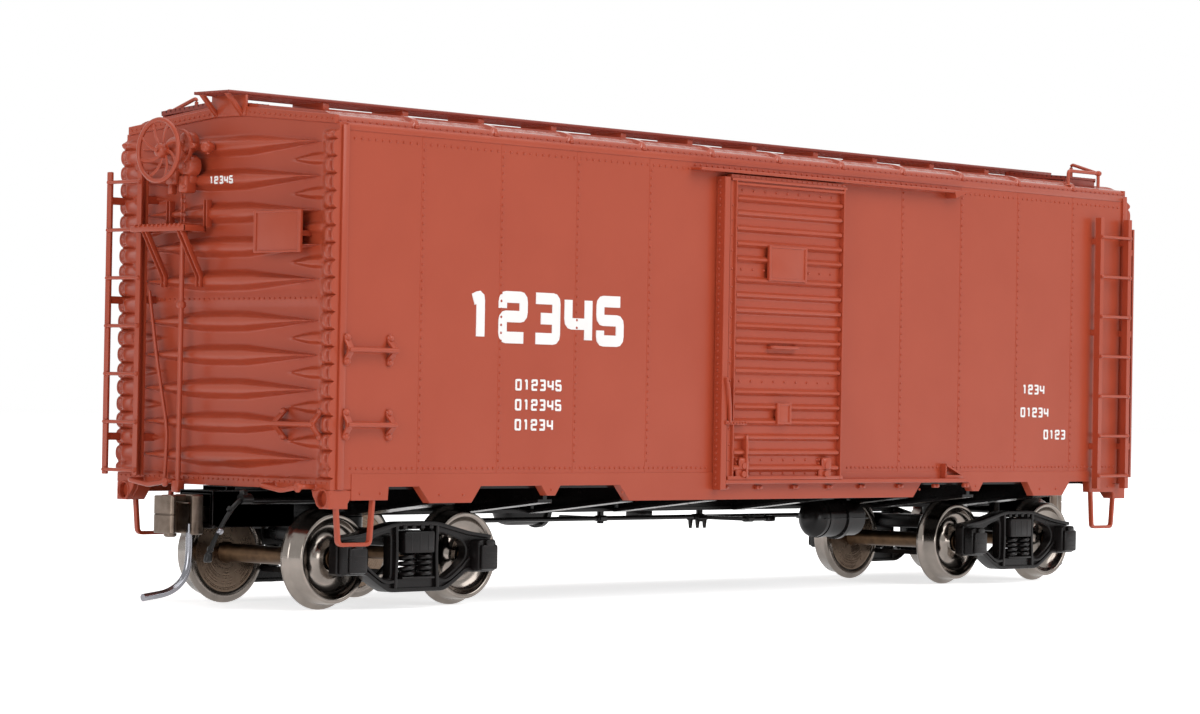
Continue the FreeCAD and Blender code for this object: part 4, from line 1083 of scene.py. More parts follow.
@dataclass
class Roof:
    """The roof sheets with their seam ribs, fascias and rivets."""

    half_length: float = 70.3
    half_width: float = HALF_ROOF
    pitch: float = SEAM_PITCH
    rib: float = 0.45

    def sheet_height(self, x: np.ndarray, y: np.ndarray) -> np.ndarray:
        """Height above the eave.

        A gable rolled over its edge, plus a square-shouldered rib at every
        pitch that bows down to nothing at the eave.  Each panel has a sunken
        bow tie, 1.3 + 0.22 |y| to either side of its middle, so that raised
        wedges are left beside the ribs.

        Args:
            x: places along the car.
            y: places across it.

        Returns:
            array of heights, in millimetres.
        """
        away = np.abs(y)
        gable = roof_at(away) - EAVE
        roll = 0.5 * (1 - np.sqrt(np.clip(1 - ((away - 15.85) / 0.6).clip(0, 1) ** 2, 0, 1)))
        phase = x / self.pitch - np.round(x / self.pitch)
        rib = ramp(0.5 - np.abs(phase * self.pitch), 0.0, 0.16)
        bow = np.sqrt(np.clip(1 - ((away - 14.2) / 2.15).clip(0, 1) ** 2, 0, 1))
        centre = self.pitch / 2 - np.abs(phase * self.pitch)
        wedge = 0.3 * ramp(centre - 1.3 - 0.25 * away, 0.0, 0.5) * (1 - ramp(away, 14.6, 15.4))
        return gable - roll * (1 - 0.3 * rib) + np.maximum(rib * (self.rib * bow + 0.06), wedge)

    def sheets(self) -> Shape:
        """The roof as one pressed sheet.

        Returns:
            the whole roof.
        """
        near = np.concatenate([[-0.62, -0.5, -0.42, -0.34, -0.2, 0.2, 0.34, 0.42, 0.5, 0.62],
                               np.linspace(1.0, self.pitch - 1.0, 26)])
        x = (self.pitch * np.arange(-6, 6)[:, None] + near).ravel()
        x = np.unique(np.concatenate([x, [-self.half_length, self.half_length]]))
        x = x[np.abs(x) <= self.half_length]
        half = np.concatenate([np.linspace(0, 14.2, 30), [14.6, 15.0, 15.4, 15.7, 15.9, 16.05, 16.2,
                                                          16.3, 16.38, 16.43, self.half_width]])
        y = np.unique(np.concatenate([-half, half]))
        return Shape().relief(x, y, self.sheet_height, Axis.Z, EAVE, EAVE - 0.8)

    def fascia(self) -> Shape:
        """The fascia's rivets, its lower bead and a bolt at every rib.

        Returns:
            the trim of both fascias.
        """
        shape = Shape()
        for way in (-1, 1):
            face = way * self.half_width
            shape.domes(row((-70.0, face, 50.78), (70.0, face, 50.78), 1.02), Axis.Y, way,
                        0.13, 0.1)
            shape.block((-self.half_length, face - way * 0.2, 50.5),
                        (self.half_length, face + way * 0.1, 50.62), 0.04)
            for x in self.pitch * np.arange(-5, 6):
                shape.block((x - 0.34, face - way * 0.3, 50.55),
                            (x + 0.34, face + way * 0.16, 51.05), 0.1)
        return shape

    def build(self, shop: Workshop) -> None:
        """Make the roof.

        Args:
            shop: where the pieces are made.
        """
        shop.piece("roof_sheets", self.sheets(), "carbody", ROOF_ENAMEL, ["roof"], 50)
        shop.piece("roof_fascia", self.fascia(), "carbody", ENAMEL)


@dataclass
class Walkways:
    """The open-grid running board and the two lateral boards over corners.

    lateral holds a lateral board's inner and outer edge as (y, z), then its
    two ends along the car; fall is its drop for each millimetre outwards.
    """

    end: float = 73.3
    half_width: float = 2.75
    low: float = 53.98
    high: float = 54.3
    mesh: float = 1.18
    lateral: tuple[Loop, float, float] = (((2.85, 53.6), (12.7, 52.8)), 62.6, 69.3)
    fall: float = 0.0812

    def running_board(self) -> Shape:
        """Edge channels, long bars and closely spaced cross bars.

        Returns:
            the whole board.
        """
        shape = Shape()
        for way in (-1, 1):
            shape.block((-self.end, way * (self.half_width - 0.16), self.low),
                        (self.end, way * self.half_width, self.high), 0.05)
        for y in (-1.95, -1.17, -0.39, 0.39, 1.17, 1.95):
            shape.bar((-self.end, y, self.high - 0.15), (self.end, y, self.high - 0.15), 0.12, 0.26)
        for x in np.arange(-self.end + 0.09, self.end, self.mesh):
            shape.bar((x, -2.7, self.high - 0.12), (x, 2.7, self.high - 0.12), 0.14, 0.2)
        return shape

    def supports(self) -> Shape:
        """A cleat at every roof rib, and at each end a back plate with two struts.

        Returns:
            all that carries the running board.
        """
        shape = Shape()
        for x in SEAM_PITCH * np.arange(-5, 6):
            shape.block((x - 0.45, -2.45, 52.8), (x + 0.45, 2.45, self.low + 0.02), 0.05)
        for way in (-1, 1):
            shape.block((-way * END, -2.7, 51.75), (way * 70.85, 2.7, self.low + 0.03), 0.06)
            strut = [(way * x, z) for x, z in ((73.1, self.low), (72.45, self.low), (70.8, 52.35),
                                               (70.8, 51.75))]
            for y in (-2.25, 1.75):
                shape.plate(strut, Axis.Y, y, y + 0.5, 0.06)
        return shape

    def lateral_board(self) -> Shape:
        """A short grid down the slope of the roof, edged all round.

        Returns:
            the right side's board, near the plain end.
        """
        ((inner, high), (outer, low)), near, far = self.lateral
        shape = Shape()
        for x in (near + 0.08, far - 0.08):
            shape.bar((x, -inner, high - 0.1), (x, -outer, low - 0.1), 0.16, 0.5)
        for x in np.linspace(near + 0.85, far - 0.85, 7):
            shape.bar((x, -inner, high), (x, -outer, low), 0.12, 0.3)
        for y in np.linspace(inner + 0.06, outer - 0.06, 14):
            z = np.interp(y, (inner, outer), (high, low))
            shape.bar((near, -y, z), (far, -y, z), 0.14, 0.26)
        return shape

    def lateral_cleats(self) -> Shape:
        """Three cleats between the roof and a lateral board.

        Returns:
            the cleats of the right side's board.
        """
        ((inner, high), _), near, far = self.lateral
        shape = Shape()
        for y in (5.2, 8.9, 12.3):
            under = high - self.fall * (y - inner) - 0.1
            shape.block((near + 0.1, -y - 0.3, roof_at(y) - 0.05), (far - 0.1, -y + 0.1, under),
                        0.04)
        return shape

    def build(self, shop: Workshop) -> None:
        """Make the walkways with the cleats and brackets that carry them.

        Args:
            shop: where the pieces are made.
        """
        # Both grids take the darker walkway enamel, which paints in the shade among their bars.
        shop.piece("running_board_grid", self.running_board(), "carbody", SHADED_ENAMEL_ON_BRASS,
                   ["running_board"])
        lateral = self.lateral_board().joined(self.lateral_cleats())
        shop.piece("lateral_board_grids", lateral.both(), "carbody", SHADED_ENAMEL_ON_BRASS,
                   ["lateral_boards"])
        shop.piece("running_board_cleats", self.supports(), "carbody", ENAMEL,
                   ["running_board_supports"])


# ------------------------------------------------- grab irons, ladders, steps
@dataclass
class Ironwork:
    """Grab irons, ladders, sill steps and the castings under the corners."""

    side: float = SIDE
    end: float = END
    wire: float = 0.27
    rung_pitch: float = 5.16

    def bow(self, x: float, foot: float, out: float, z: float) -> Shape:
        """A bracket of flat bar bowed out to carry a grab iron on a side.

        Args:
            x: place along the side.
            foot: depth of the bracket's feet.
            out: depth of the wire that it carries.
            z: height of the wire.

        Returns:
            the bracket.
        """
        path = [(x, foot, z - 1.45), (x, foot - 0.1, z - 0.95), (x, out, z - 0.1),
                (x, out, z + 0.1), (x, foot - 0.1, z + 0.95), (x, foot, z + 1.45)]
        shape = Shape().sweep(rounded(path, 0.25), rounded_box(0.12, 0.4, 0.05),
                              (1, 0, 0))
        return shape.domes([(x, foot - 0.1, z - 1.25), (x, foot - 0.1, z + 1.25)],
                           Axis.Y, -1, 0.45, 0.34)

    def side_grabs(self) -> Shape:
        """Two straight grab irons at the left of a side.

        Returns:
            the right side's two, with their brackets.
        """
        shape = Shape()
        for z in (27.3, 19.6):
            out = self.side - 0.95
            shape.wire([(-69.6, out, z), (-62.7, out, z)], self.wire)
            shape.joined(self.bow(-69.3, self.side - 0.25, out, z))
            shape.joined(self.bow(-63.0, self.side, out, z))
        return shape

    def end_grab(self) -> Shape:
        """The straight grab iron low on an end, its feet astride a rib.

        Returns:
            the brake end's grab iron.
        """
        out, z = self.end - 1.75, 19.55
        shape = Shape().wire([(out, -15.5, z), (out, -9.3, z)], self.wire)
        for y in (-15.2, -9.6):
            path = [(self.end - 0.2, y, z - 1.5), (out + 0.05, y, z - 0.12),
                    (out + 0.05, y, z + 0.12), (self.end - 0.2, y, z + 1.5)]
            shape.sweep(rounded(path, 0.3), rounded_box(0.12, 0.36, 0.05), (0, 1, 0))
            shape.domes([(self.end - 0.5, y, z - 1.3), (self.end - 0.5, y, z + 1.3)],
                        Axis.X, -1, 0.42, 0.32)
        return shape

    def corner_grab(self) -> Shape:
        """The bent grab iron over a lateral board, with an eyelet at its corner.

        Returns:
            the right side's one, near the plain end.
        """
        x_in, x_out, y_out, y_in, top = 58.6, 65.3, -15.9, -11.6, 53.3
        roof_out, roof_in = roof_at(-y_out), roof_at(-y_in)
        shape = Shape().wire([(x_in, y_out, roof_out + 0.05), (x_in, y_out, top),
                              (x_out, y_out, top), (x_out, y_in, top + 1.35),
                              (x_out, y_in, roof_in + 0.6)], 0.22, 0.45)
        shape.wire([(x_out, y_out, roof_out + 0.1), (x_out, y_out, top + 0.1)], 0.22)
        shape.lathe([(-0.32, TIP), (-0.3, 0.3), (-0.1, 0.46), (0.2, 0.44), (0.34, 0.2),
                     (0.36, TIP)], (x_out, y_out, top), Axis.Z, 14, 1)
        return shape.domes((x_in, y_out, roof_out + 0.02), Axis.Z, 1, 0.5, 0.25)

    def sill_grab(self, near: float, far: float) -> Shape:
        """A grab iron that droops under the end sill, with an eyelet.

        Args:
            near: place across the end of one foot.
            far: place of the other.

        Returns:
            the grab iron.
        """
        out, z = self.end - 2.5, 13.2
        shape = Shape().wire([(self.end - 0.3, near, z), (out, near, z),
                              (out, (near + far) / 2, z - 0.45), (out, far, z),
                              (self.end - 0.3, far, z)], self.wire, 0.5)
        eye = far + math.copysign(0.4, near - far)
        shape.lathe(boss(0.22, 0.5), (out, eye, z - 0.1), Axis.X, 14, 1)
        return shape.domes([(self.end - 0.5, near, z), (self.end - 0.5, far, z)],
                           Axis.X, -1, 0.4, 0.16)

    def ladder(self, edges: Pair, leg: float, front: float, wall: float,
               rungs: np.ndarray, span: Pair, across: bool,
               depths: Pair = (0.85, 0.85)) -> Shape:
        """A ladder whose stiles are small channels that open one way.

        Args:
            edges: place of each channel's web along the ladder's width.
            leg: width of a channel's legs, negative towards lower places.
            front: depth of the channels' outer face.
            wall: depth of the panel that the ladder stands on.
            rungs: heights of the rungs.
            span: heights of the stiles' two ends.
            across: True for a ladder whose width runs along Y.
            depths: how far each channel's web runs back.

        Returns:
            the ladder.
        """
        shape = Shape()
        way, sheet = math.copysign(1, wall - front), 0.17

        def flat(a: float, d: float) -> Pair:
            """Put (along, depth) in the order (x, y)."""
            return (d, a) if across else (a, d)

        def slab(a0: float, a1: float, d0: float, d1: float, low: float, high: float) -> None:
            """Add a flat bar between two places and two depths."""
            outline = [flat(a0, d0), flat(a1, d0), flat(a1, d1), flat(a0, d1)]
            shape.plate(outline, Axis.Z, low, high, 0.04)

        for a, depth in zip(edges, depths):
            thin, back = math.copysign(sheet, leg), front + way * depth
            slab(a, a + leg, front, front + way * sheet, *span)
            slab(a - thin * 0.1, a + thin, front + way * 0.01, back - way * 0.01, span[0] + 0.01,
                 span[1] - 0.01)
            slab(a + thin * 0.1, a + leg * 0.9, back - way * sheet, back, span[0] + 0.02,
                 span[1] - 0.02)
            for z in (17.77, 32.5, span[1] - 3.1):
                slab(a + thin * 0.1, a + thin * 3.2, back - way * 0.1, wall, z - 0.4, z + 0.4)
        for z in rungs:
            depth = front - way * 0.02
            ends = [(*flat(a, depth), z) for a in (edges[0] + leg * 0.15, edges[1] + leg * 0.7)]
            shape.wire(ends, 0.2)
            for a in edges:
                shape.domes((*flat(a + leg * 0.5, front), z), Axis.X if across else Axis.Y,
                            -int(way), 0.3, 0.3)
        return shape

    def ladders(self) -> Shape:
        """The ladder at the right of a side and the one at the left of an end.

        Returns:
            all four ladders of the car.
        """
        steps = self.rung_pitch * np.arange(7)
        side = self.ladder((62.7, 68.95), 0.75, -18.3, SIDE, 13.96 + steps, (12.3, 47.4), False)
        shape = side.both()
        for front in (-73.1, -72.2):
            end = self.ladder((11.95, 17.0), -0.72, front, END, 14.2 + steps, (13.7, 46.3), True,
                              (1.05, 0.35))
            shape.joined(end if front < -73 else end.turned())
        return shape

    def sill_steps(self) -> Shape:
        """The stirrups under two corners, flat bar bent to a U.

        Returns:
            the right side's two steps.
        """
        shape = Shape()
        for outer, inner in ((-70.1, -64.5), (68.9, 63.4)):
            way = math.copysign(1, inner - outer)
            path = [(x, SIDE + 0.33, z) for x, z in (
                (outer + way * 0.22, 11.3), (outer + way * 0.6, 7.27), (inner - way * 0.6, 7.27),
                (inner - way * 0.22, 12.2))]
            shape.sweep(rounded(path, 0.55), rounded_box(0.2, 0.28, 0.06), (0, 1, 0))
        return shape

    def castings(self) -> Shape:
        """Corner castings: chamfered blocks with a round poling pocket.

        Returns:
            the brake end's two castings.
        """
        shape = Shape()
        front, pocket_y, pocket_z = -71.08, 15.75, 12.0
        for way in (-1, 1):
            outline = [(way * y, z) for y, z in ((16.88, 12.88), (16.88, 10.95), (15.3, 10.95),
                                                 (14.3, 12.2), (14.1, 12.88))]
            pocket = ellipse(0.78, 0.85, 20) + (way * pocket_y, pocket_z)
            shape.plate(outline, Axis.X, -70.4, -68.4, 0.12)
            shape.plate(outline, Axis.X, front, -70.38, 0.1, [pocket])
            rim = circle(Axis.X, (front, way * pocket_y, pocket_z), 0.9, 24, 0.95)
            shape.sweep(rim, ellipse(0.1, 0.1, 6), (1, 0, 0), closed=True)
            apron = [(-71.0, 12.85), (-71.0, 11.4), (-70.5, 10.95), (-68.9, 10.95),
                     (-67.9, 12.2), (-67.7, 12.85)]
            shape.plate(apron, Axis.Y, -way * SIDE, way * 16.5, 0.08)
        return shape

    def build(self, shop: Workshop) -> None:
        """Make the ironwork of the whole car.

        Args:
            shop: where the pieces are made.
        """
        grabs = self.side_grabs().joined(self.end_grab()).joined(self.corner_grab())
        shop.piece("grab_irons_wire", grabs.both(), "carbody", ENAMEL, ["grab_irons"], 50)
        sill = self.sill_grab(12.6, 6.2).joined(self.sill_grab(-8.5, -14.6))
        shop.piece("end_sill_grab_wires", sill.both(), "carbody", ENAMEL, ["end_sill_grabs"], 50)
        shop.piece("ladder_irons", self.ladders(), "carbody", ENAMEL, ["ladders"], 50)
        shop.piece("stirrup_steps", self.sill_steps().both(), "carbody", ENAMEL, ["sill_steps"])
        shop.piece("poling_castings", self.castings().both(), "carbody", ENAMEL,
                   ["corner_castings"])


# --------------------------------------------------------------- hand brake
@dataclass
class HandBrake:
    """The brake end's gear: spoked wheel, housing, step, rod, valve and tack board.

    wheel is the middle of the brake wheel; crest is the plane of the end's rib
    crests, which the gear stands on.
    """

    wheel: Point = (-75.0, 6.3, 48.15)
    radius: float = 3.25
    spokes: int = 8
    crest: float = -71.66

    def brake_wheel(self) -> Shape:
        """Rim, hub and dished spokes.

        A spoke runs out from the hub with its angle advancing by half a
        radian and bellies towards the end of the car by a half sine.

        Returns:
            the wheel with its hub and nut.
        """
        x, y, z = self.wheel
        rim = circle(Axis.X, self.wheel, self.radius, 48)
        shape = Shape().sweep(rim, ellipse(0.27, 0.24, 10), (1, 0, 0), closed=True)
        t = np.linspace(0, 1, 9)
        for number in range(self.spokes):
            angle = math.tau * number / self.spokes + 0.5 * t
            radius = 0.5 + (self.radius - 0.55) * t
            path = np.stack([x + 0.55 * np.sin(math.pi * (1 - t) / 2), y + radius * np.cos(angle),
                             z + radius * np.sin(angle)], axis=1)
            shape.sweep(path, ellipse(0.2, 0.1, 8), (1, 0, 0))
        hub = solid([(-0.3, 0.4), (-0.1, 0.75), (0.6, 0.85), (0.95, 0.6)])
        shape.lathe(hub, (x + 0.1, y, z), Axis.X, 20, 1)
        nut = solid([(-0.5, 0.26), (-0.2, 0.28)])
        return shape.lathe(nut, (x + 0.1, y, z), Axis.X, 6)

    def housing(self) -> Shape:
        """The gear case: a disc with a lever arc, lobes below and a ratchet block.

        Returns:
            the gear case.
        """
        _, y, z = self.wheel
        shape = Shape().lathe([(self.crest, TIP), (self.crest, 1.6), (-72.9, 1.6), (-73.2, 1.35),
                               (-73.5, 0.8), (-73.7, TIP)], (0, y, z), Axis.X, 28)
        for place, radius, front in (((4.7, 49.1), 1.1, -73.0), ((4.35, 46.6), 1.15, -73.1),
                                     ((5.6, 47.0), 1.3, -73.0), ((4.6, 45.2), 0.8, -72.9)):
            shape.lathe(solid([(self.crest, radius), (front + 0.3, radius),
                               (front, radius - 0.3)]), (0, *place), Axis.X, 22)
        turn = np.linspace(-0.9, 1.9, 14)
        arc = np.stack([np.full(14, -73.15), 4.9 - 1.75 * np.cos(turn - 0.3),
                        48.6 + 1.75 * np.sin(turn - 0.3)], axis=1)
        shape.sweep(arc, rounded_box(0.14, 0.22, 0.08), (1, 0, 0))
        shape.wire([(-73.1, 3.4, 48.9), (-73.2, 2.6, 48.6)], 0.2)
        shape.lathe(boss(0.3, 0.3), (-73.2, 2.7, 48.6), Axis.X, 12, 1)
        shape.block((-73.5, 5.3, 44.6), (-71.7, 6.8, 46.2), 0.15)
        shape.block((-73.3, 6.1, 43.6), (-72.5, 6.7, 44.7), 0.12)
        shape.block((-73.2, 3.9, 43.7), (self.crest, 5.2, 45.6), 0.25)
        return shape.domes([(-73.1, 4.7, 49.1), (-73.15, 4.35, 46.6), (-73.5, 6.0, 45.4),
                            (-73.2, 4.2, 44.4), (-73.5, 5.6, 44.9)], Axis.X, -1, 0.3, 0.2)

    def step(self) -> Shape:
        """The brake step: an edged grating, two uprights and two channel braces.

        Returns:
            the step with its braces.
        """
        low, high = 39.6, 40.25
        shape = Shape()
        for x0, x1 in ((-74.8, -74.55), (-71.9, -71.65)):
            shape.block((x0, 2.3, low), (x1, 11.0, high), 0.05)
        for y0 in (2.3, 10.75):
            shape.block((-74.78, y0, low + 0.01), (-71.67, y0 + 0.25, high - 0.01), 0.05)
        for x in (-74.1, -73.5, -72.9, -72.3):
            shape.bar((x, 2.35, high - 0.22), (x, 10.95, high - 0.22), 0.14, 0.36)
        for y in np.arange(2.9, 10.8, 0.72):
            shape.bar((-74.95, y, high), (-71.7, y, high), 0.24, 0.26)
        for y in (3.0, 8.7):
            brace = [(-74.9, low + 0.02), (-74.2, low + 0.02), (-71.6, 35.2), (-71.6, 33.8),
                     (-72.1, 33.8), (-72.1, 34.8)]
            for side in (-0.34, 0.24):
                shape.plate(brace, Axis.Y, y + side, y + side + 0.1, 0.03)
            shape.bar((-74.4, y, low), (-71.75, y, 35.1), 0.6, 0.12, (0.85, 0, 0.5))
            shape.bar((-71.75, y, 35.1), (-71.75, y, 33.9), 0.6, 0.12, (1, 0, 0))
            shape.domes([(-71.8, y, 34.3)], Axis.X, -1, 0.2, 0.2)
        for y in (2.2, 8.2):
            for side in (-0.3, 0.2):
                shape.block((-71.95, y + side, high - 0.1), (-71.2, y + side + 0.12, 43.0), 0.04)
            shape.block((-71.6, y - 0.28, high - 0.12), (-71.3, y + 0.3, 42.9), 0.04)
        return shape

    def rod(self) -> Shape:
        """The vertical rod with its clevis, its guide and the chain above it.

        Returns:
            the rod and its chain.
        """
        x, y = -72.4, 5.2
        shape = Shape().wire([(x, y, 12.0), (x, y, 40.4)], 0.28, sides=12)
        shape.block((x - 0.5, y - 0.55, 12.05), (x + 0.5, y + 0.55, 13.3), 0.15)
        for z in (31.9, 39.3):
            shape.lathe(boss(0.35, 0.52, 0), (x, y, z), Axis.Z, 14, 1)
        for number in range(5):
            link = circle(Axis.Y if number % 2 else Axis.X, (x, y, 40.7 + 0.75 * number), 0.26, 12,
                          0.5)
            shape.sweep(link, ellipse(0.11, 0.11, 6), closed=True)
        return shape

    def retainer(self) -> Shape:
        """The retainer valve and the thin pipe that winds down from it.

        Returns:
            the valve and its pipe.
        """
        shape = Shape()
        body = solid([(-0.9, 0.3), (-0.65, 0.58), (0.3, 0.6), (0.5, 0.36), (0.6, 0.36)])
        shape.lathe(body, (-72.3, 1.3, 48.45), Axis.X, 18, 1)
        shape.lathe(boss(0.75, 0.24, 0.05), (-72.4, 1.3, 48.45), Axis.Z, 12, 1)
        pipe = ((11.1, 33.4), (9.6, 26.0), (7.7, 18.5), (8.0, 13.25))
        return shape.wire([(self.crest - 0.21, y, z) for y, z in pipe], 0.2, 1.5)

    def board(self) -> Shape:
        """The tack board that stands off the end, with its rim.

        Returns:
            the brake end's board.
        """
        shape = Shape().block((-72.3, -13.0, 37.35), (-72.05, -6.2, 41.45), 0.05, Axis.X)
        for way, y0, y1, z0, z1 in ((0.0, -13.2, -12.8, 37.2, 41.6), (0.0, -6.4, -6.0, 37.2, 41.6),
                                    (0.02, -13.1, -6.1, 37.22, 37.45),
                                    (0.02, -13.1, -6.1, 41.35, 41.58)):
            shape.block((-72.42 + way, y0, z0), (-72.0 - way, y1, z1), 0.06, Axis.X)
        for y in (-12.6, -6.6):
            shape.block((-72.05, y - 0.3, 38.9), (END, y + 0.3, 39.5), 0.08, Axis.X)
        return shape.block((-72.1, -10.2, 39.4), (END, -9.2, 40.1), 0.08, Axis.X)

    def build(self, shop: Workshop) -> None:
        """Make the hand brake and both tack boards.

        Args:
            shop: where the pieces are made.
        """
        for name, shape, node in (("brake_wheel_spoked", self.brake_wheel(), "brake_wheel"),
                                  ("brake_gear_case", self.housing(), "brake_housing"),
                                  ("brake_step_grating", self.step(), "brake_step"),
                                  ("brake_rod_clevis", self.rod(), "brake_rod"),
                                  ("retainer_and_pipe", self.retainer(), "retainer_valve"),
                                  ("tack_boards", self.board().both(), "placard_boards")):
            shop.piece(name, shape, "carbody", ENAMEL, [node], 50)


# --------------------------------------------------------------- side doors
@dataclass
class Doors:
    """The corrugated sliding doors, their gear and their tracks.

    The pressed frame of a leaf is even about centre; ribs and rows hold the
    heights of its ribs and of its rivet rows.
    """

    centre: float = 0.13
    half_width: float = 10.45
    low: float = 13.75
    high: float = 48.3
    back: float = -17.15
    face: float = -17.7
    ribs: tuple[float, ...] = (46.03, 44.34, 42.59, 40.85, 39.1, 36.7, 34.95, 33.2, 31.45, 29.7,
                               27.97, 26.26, 23.85, 22.13, 20.38, 18.63, 16.88, 15.08)
    rows: tuple[float, ...] = (47.0, 37.9, 25.05, 16.0, 14.45)

    def pressing(self, x: np.ndarray, z: np.ndarray) -> np.ndarray:
        """Narrow ribs with flat crests, pockets at their ends, a frame with two ridges.

        Args:
            x: places along the door.
            z: heights.

        Returns:
            array of depths, in millimetres.
        """
        away = np.abs(x - self.centre)
        out = np.zeros_like(x)
        for rib in self.ribs:
            slope = np.clip((0.44 - np.abs(z - rib)) / 0.3, 0, 1)
            out = np.maximum(out, 0.5 * slope * (1 - ramp(away, 9.5, 9.6)))
        tall = (z > self.ribs[-1] - 0.6) & (z < 47.3)
        out = out - 0.3 * ramp(away, 9.1, 9.2) * (1 - ramp(away, 9.6, 9.7)) * (out < 0.1) * tall
        ridges = 0.28 * ((away > 9.67) & (away < 9.9))
        top = (z > 47.55) & (away < 9.9)
        frame = np.maximum(0.3 * (away > 9.67) + ridges, 0.3 * top + 0.28 * (top & (z < 47.85)))
        return np.maximum(out, frame)

    def leaf(self) -> Shape:
        """The door leaf with its frame edges and rivets.

        Returns:
            the right door's leaf.
        """
        edge = np.array([9.05, 9.1, 9.2, 9.5, 9.6, 9.66, 9.69, 9.88, 9.92, 10.2])
        x = np.concatenate([[-self.half_width], self.centre - edge[::-1], np.linspace(-8, 8, 9),
                            self.centre + edge, [self.half_width]])
        z = np.linspace(self.low, self.high, 420)
        shape = Shape().relief(x, z, self.pressing, Axis.Y, self.face, self.back)
        for z0, z1 in ((self.low - 0.01, self.low + 0.4), (self.high - 0.3, self.high + 0.01)):
            shape.block((-self.half_width + 0.02, self.face - 0.57, z0),
                        (self.half_width - 0.02, self.back - 0.1, z1), 0.06)
        shape.block((-self.half_width + 0.1, self.face - 0.3, self.high - 0.02),
                    (self.half_width - 0.1, self.back - 0.1, 48.75), 0.05)
        shape.domes(row((-9.8, self.face - 0.3, 48.53), (9.8, self.face - 0.3, 48.53), 0.95), Axis.Y,
                    -1, 0.13, 0.1)
        rivets = [row((-8.1, self.face, z), (8.1, self.face, z), 1.95) for z in self.rows]
        shape.domes(np.vstack(rivets), Axis.Y, -1, 0.17, 0.14)
        middles = (np.array(self.ribs[:-1]) + np.array(self.ribs[1:])) / 2
        for x in (-10.1, 10.2):
            spots = np.stack([np.full(len(middles), x), np.full(len(middles), self.face - 0.3),
                              middles], axis=1)
            shape.domes(spots, Axis.Y, -1, 0.16, 0.12)
        return shape

    def framed_board(self, x0: float, x1: float, z0: float, z1: float) -> Shape:
        """A board on stand-offs, with a rim round it.

        Args:
            x0: left edge.
            x1: right edge.
            z0: lower edge.
            z1: upper edge.

        Returns:
            the board.
        """
        front = -18.45
        shape = Shape().block((x0 + 0.1, front + 0.1, z0 + 0.1), (x1 - 0.1, front + 0.36, z1 - 0.1),
                              0.05, Axis.Y)
        for way, a, b, c, d in ((0.0, x0, x0 + 0.35, z0, z1), (0.0, x1 - 0.35, x1, z0, z1),
                                (0.02, x0 + 0.05, x1 - 0.05, z0 + 0.02, z0 + 0.28),
                                (0.02, x0 + 0.05, x1 - 0.05, z1 - 0.28, z1 - 0.02)):
            shape.block((a, front + way, c), (b, front + 0.4 - way, d), 0.05, Axis.Y)
        for x in (x0 + 0.3, x1 - 0.9):
            shape.block((x, front + 0.3, (z0 + z1) / 2 - 0.3), (x + 0.6, self.face + 0.02,
                        (z0 + z1) / 2 + 0.3), 0.05, Axis.Y)
        return shape

    def hardware(self) -> Shape:
        """Boards, handle, latch fins, hasp and roller brackets of a door.

        Returns:
            the right door's fittings.
        """
        out = self.face - 0.75
        shape = self.framed_board(-3.9, 2.95, 36.75, 40.85)
        shape.joined(self.framed_board(-2.0, 0.5, 20.15, 22.6))
        shape.wire([(-3.1, self.face, 29.05), (-3.1, out, 29.05), (1.6, out, 29.05),
                    (1.6, self.face, 29.05)], 0.2, 0.3)
        fins = ([(-11.2, 25.4), (-10.95, 25.5), (-10.45, 24.2), (-10.2, 22.2), (-10.15, 20.3),
                 (-10.5, 20.3), (-10.6, 22.0), (-10.85, 23.9)],
                [(-7.55, 18.75), (-7.2, 18.95), (-7.1, 17.6), (-7.2, 16.0), (-7.1, 14.6),
                 (-7.1, 13.95), (-7.45, 13.95), (-7.5, 16.0)])
        for fin in fins:
            shape.plate(fin, Axis.Y, out - 0.05, self.face + 0.3, 0.06)
        shape.block((-11.0, out + 0.1, 20.05), (-7.3, out + 0.4, 20.5), 0.08, Axis.X)
        shape.domes(row((-10.7, out + 0.1, 20.28), (-7.6, out + 0.1, 20.28), 0.5), Axis.Y, -1,
                    0.16, 0.16)
        for x in (-7.9, 7.1):
            shape.block((x - 0.9, self.face - 0.45, 13.85), (x + 1.3, self.face, 15.1), 0.2, Axis.Y)
            shape.block((x - 0.45, self.face - 0.65, 14.8), (x + 1.2, self.face, 16.3), 0.3, Axis.Y)
            for z, side in ((14.4, 0.1), (15.35, 0.15)):
                shape.lathe(solid([(-0.75, 0.36), (0.0, 0.45)]), (x + side, self.face, z), Axis.Y,
                            12)
            shape.domes([(x - 0.8, self.face, 15.6), (x - 0.7, self.face, 15.1),
                         (x - 0.75, self.face, 16.05)], Axis.Y, -1, 0.22, 0.3)
        return shape

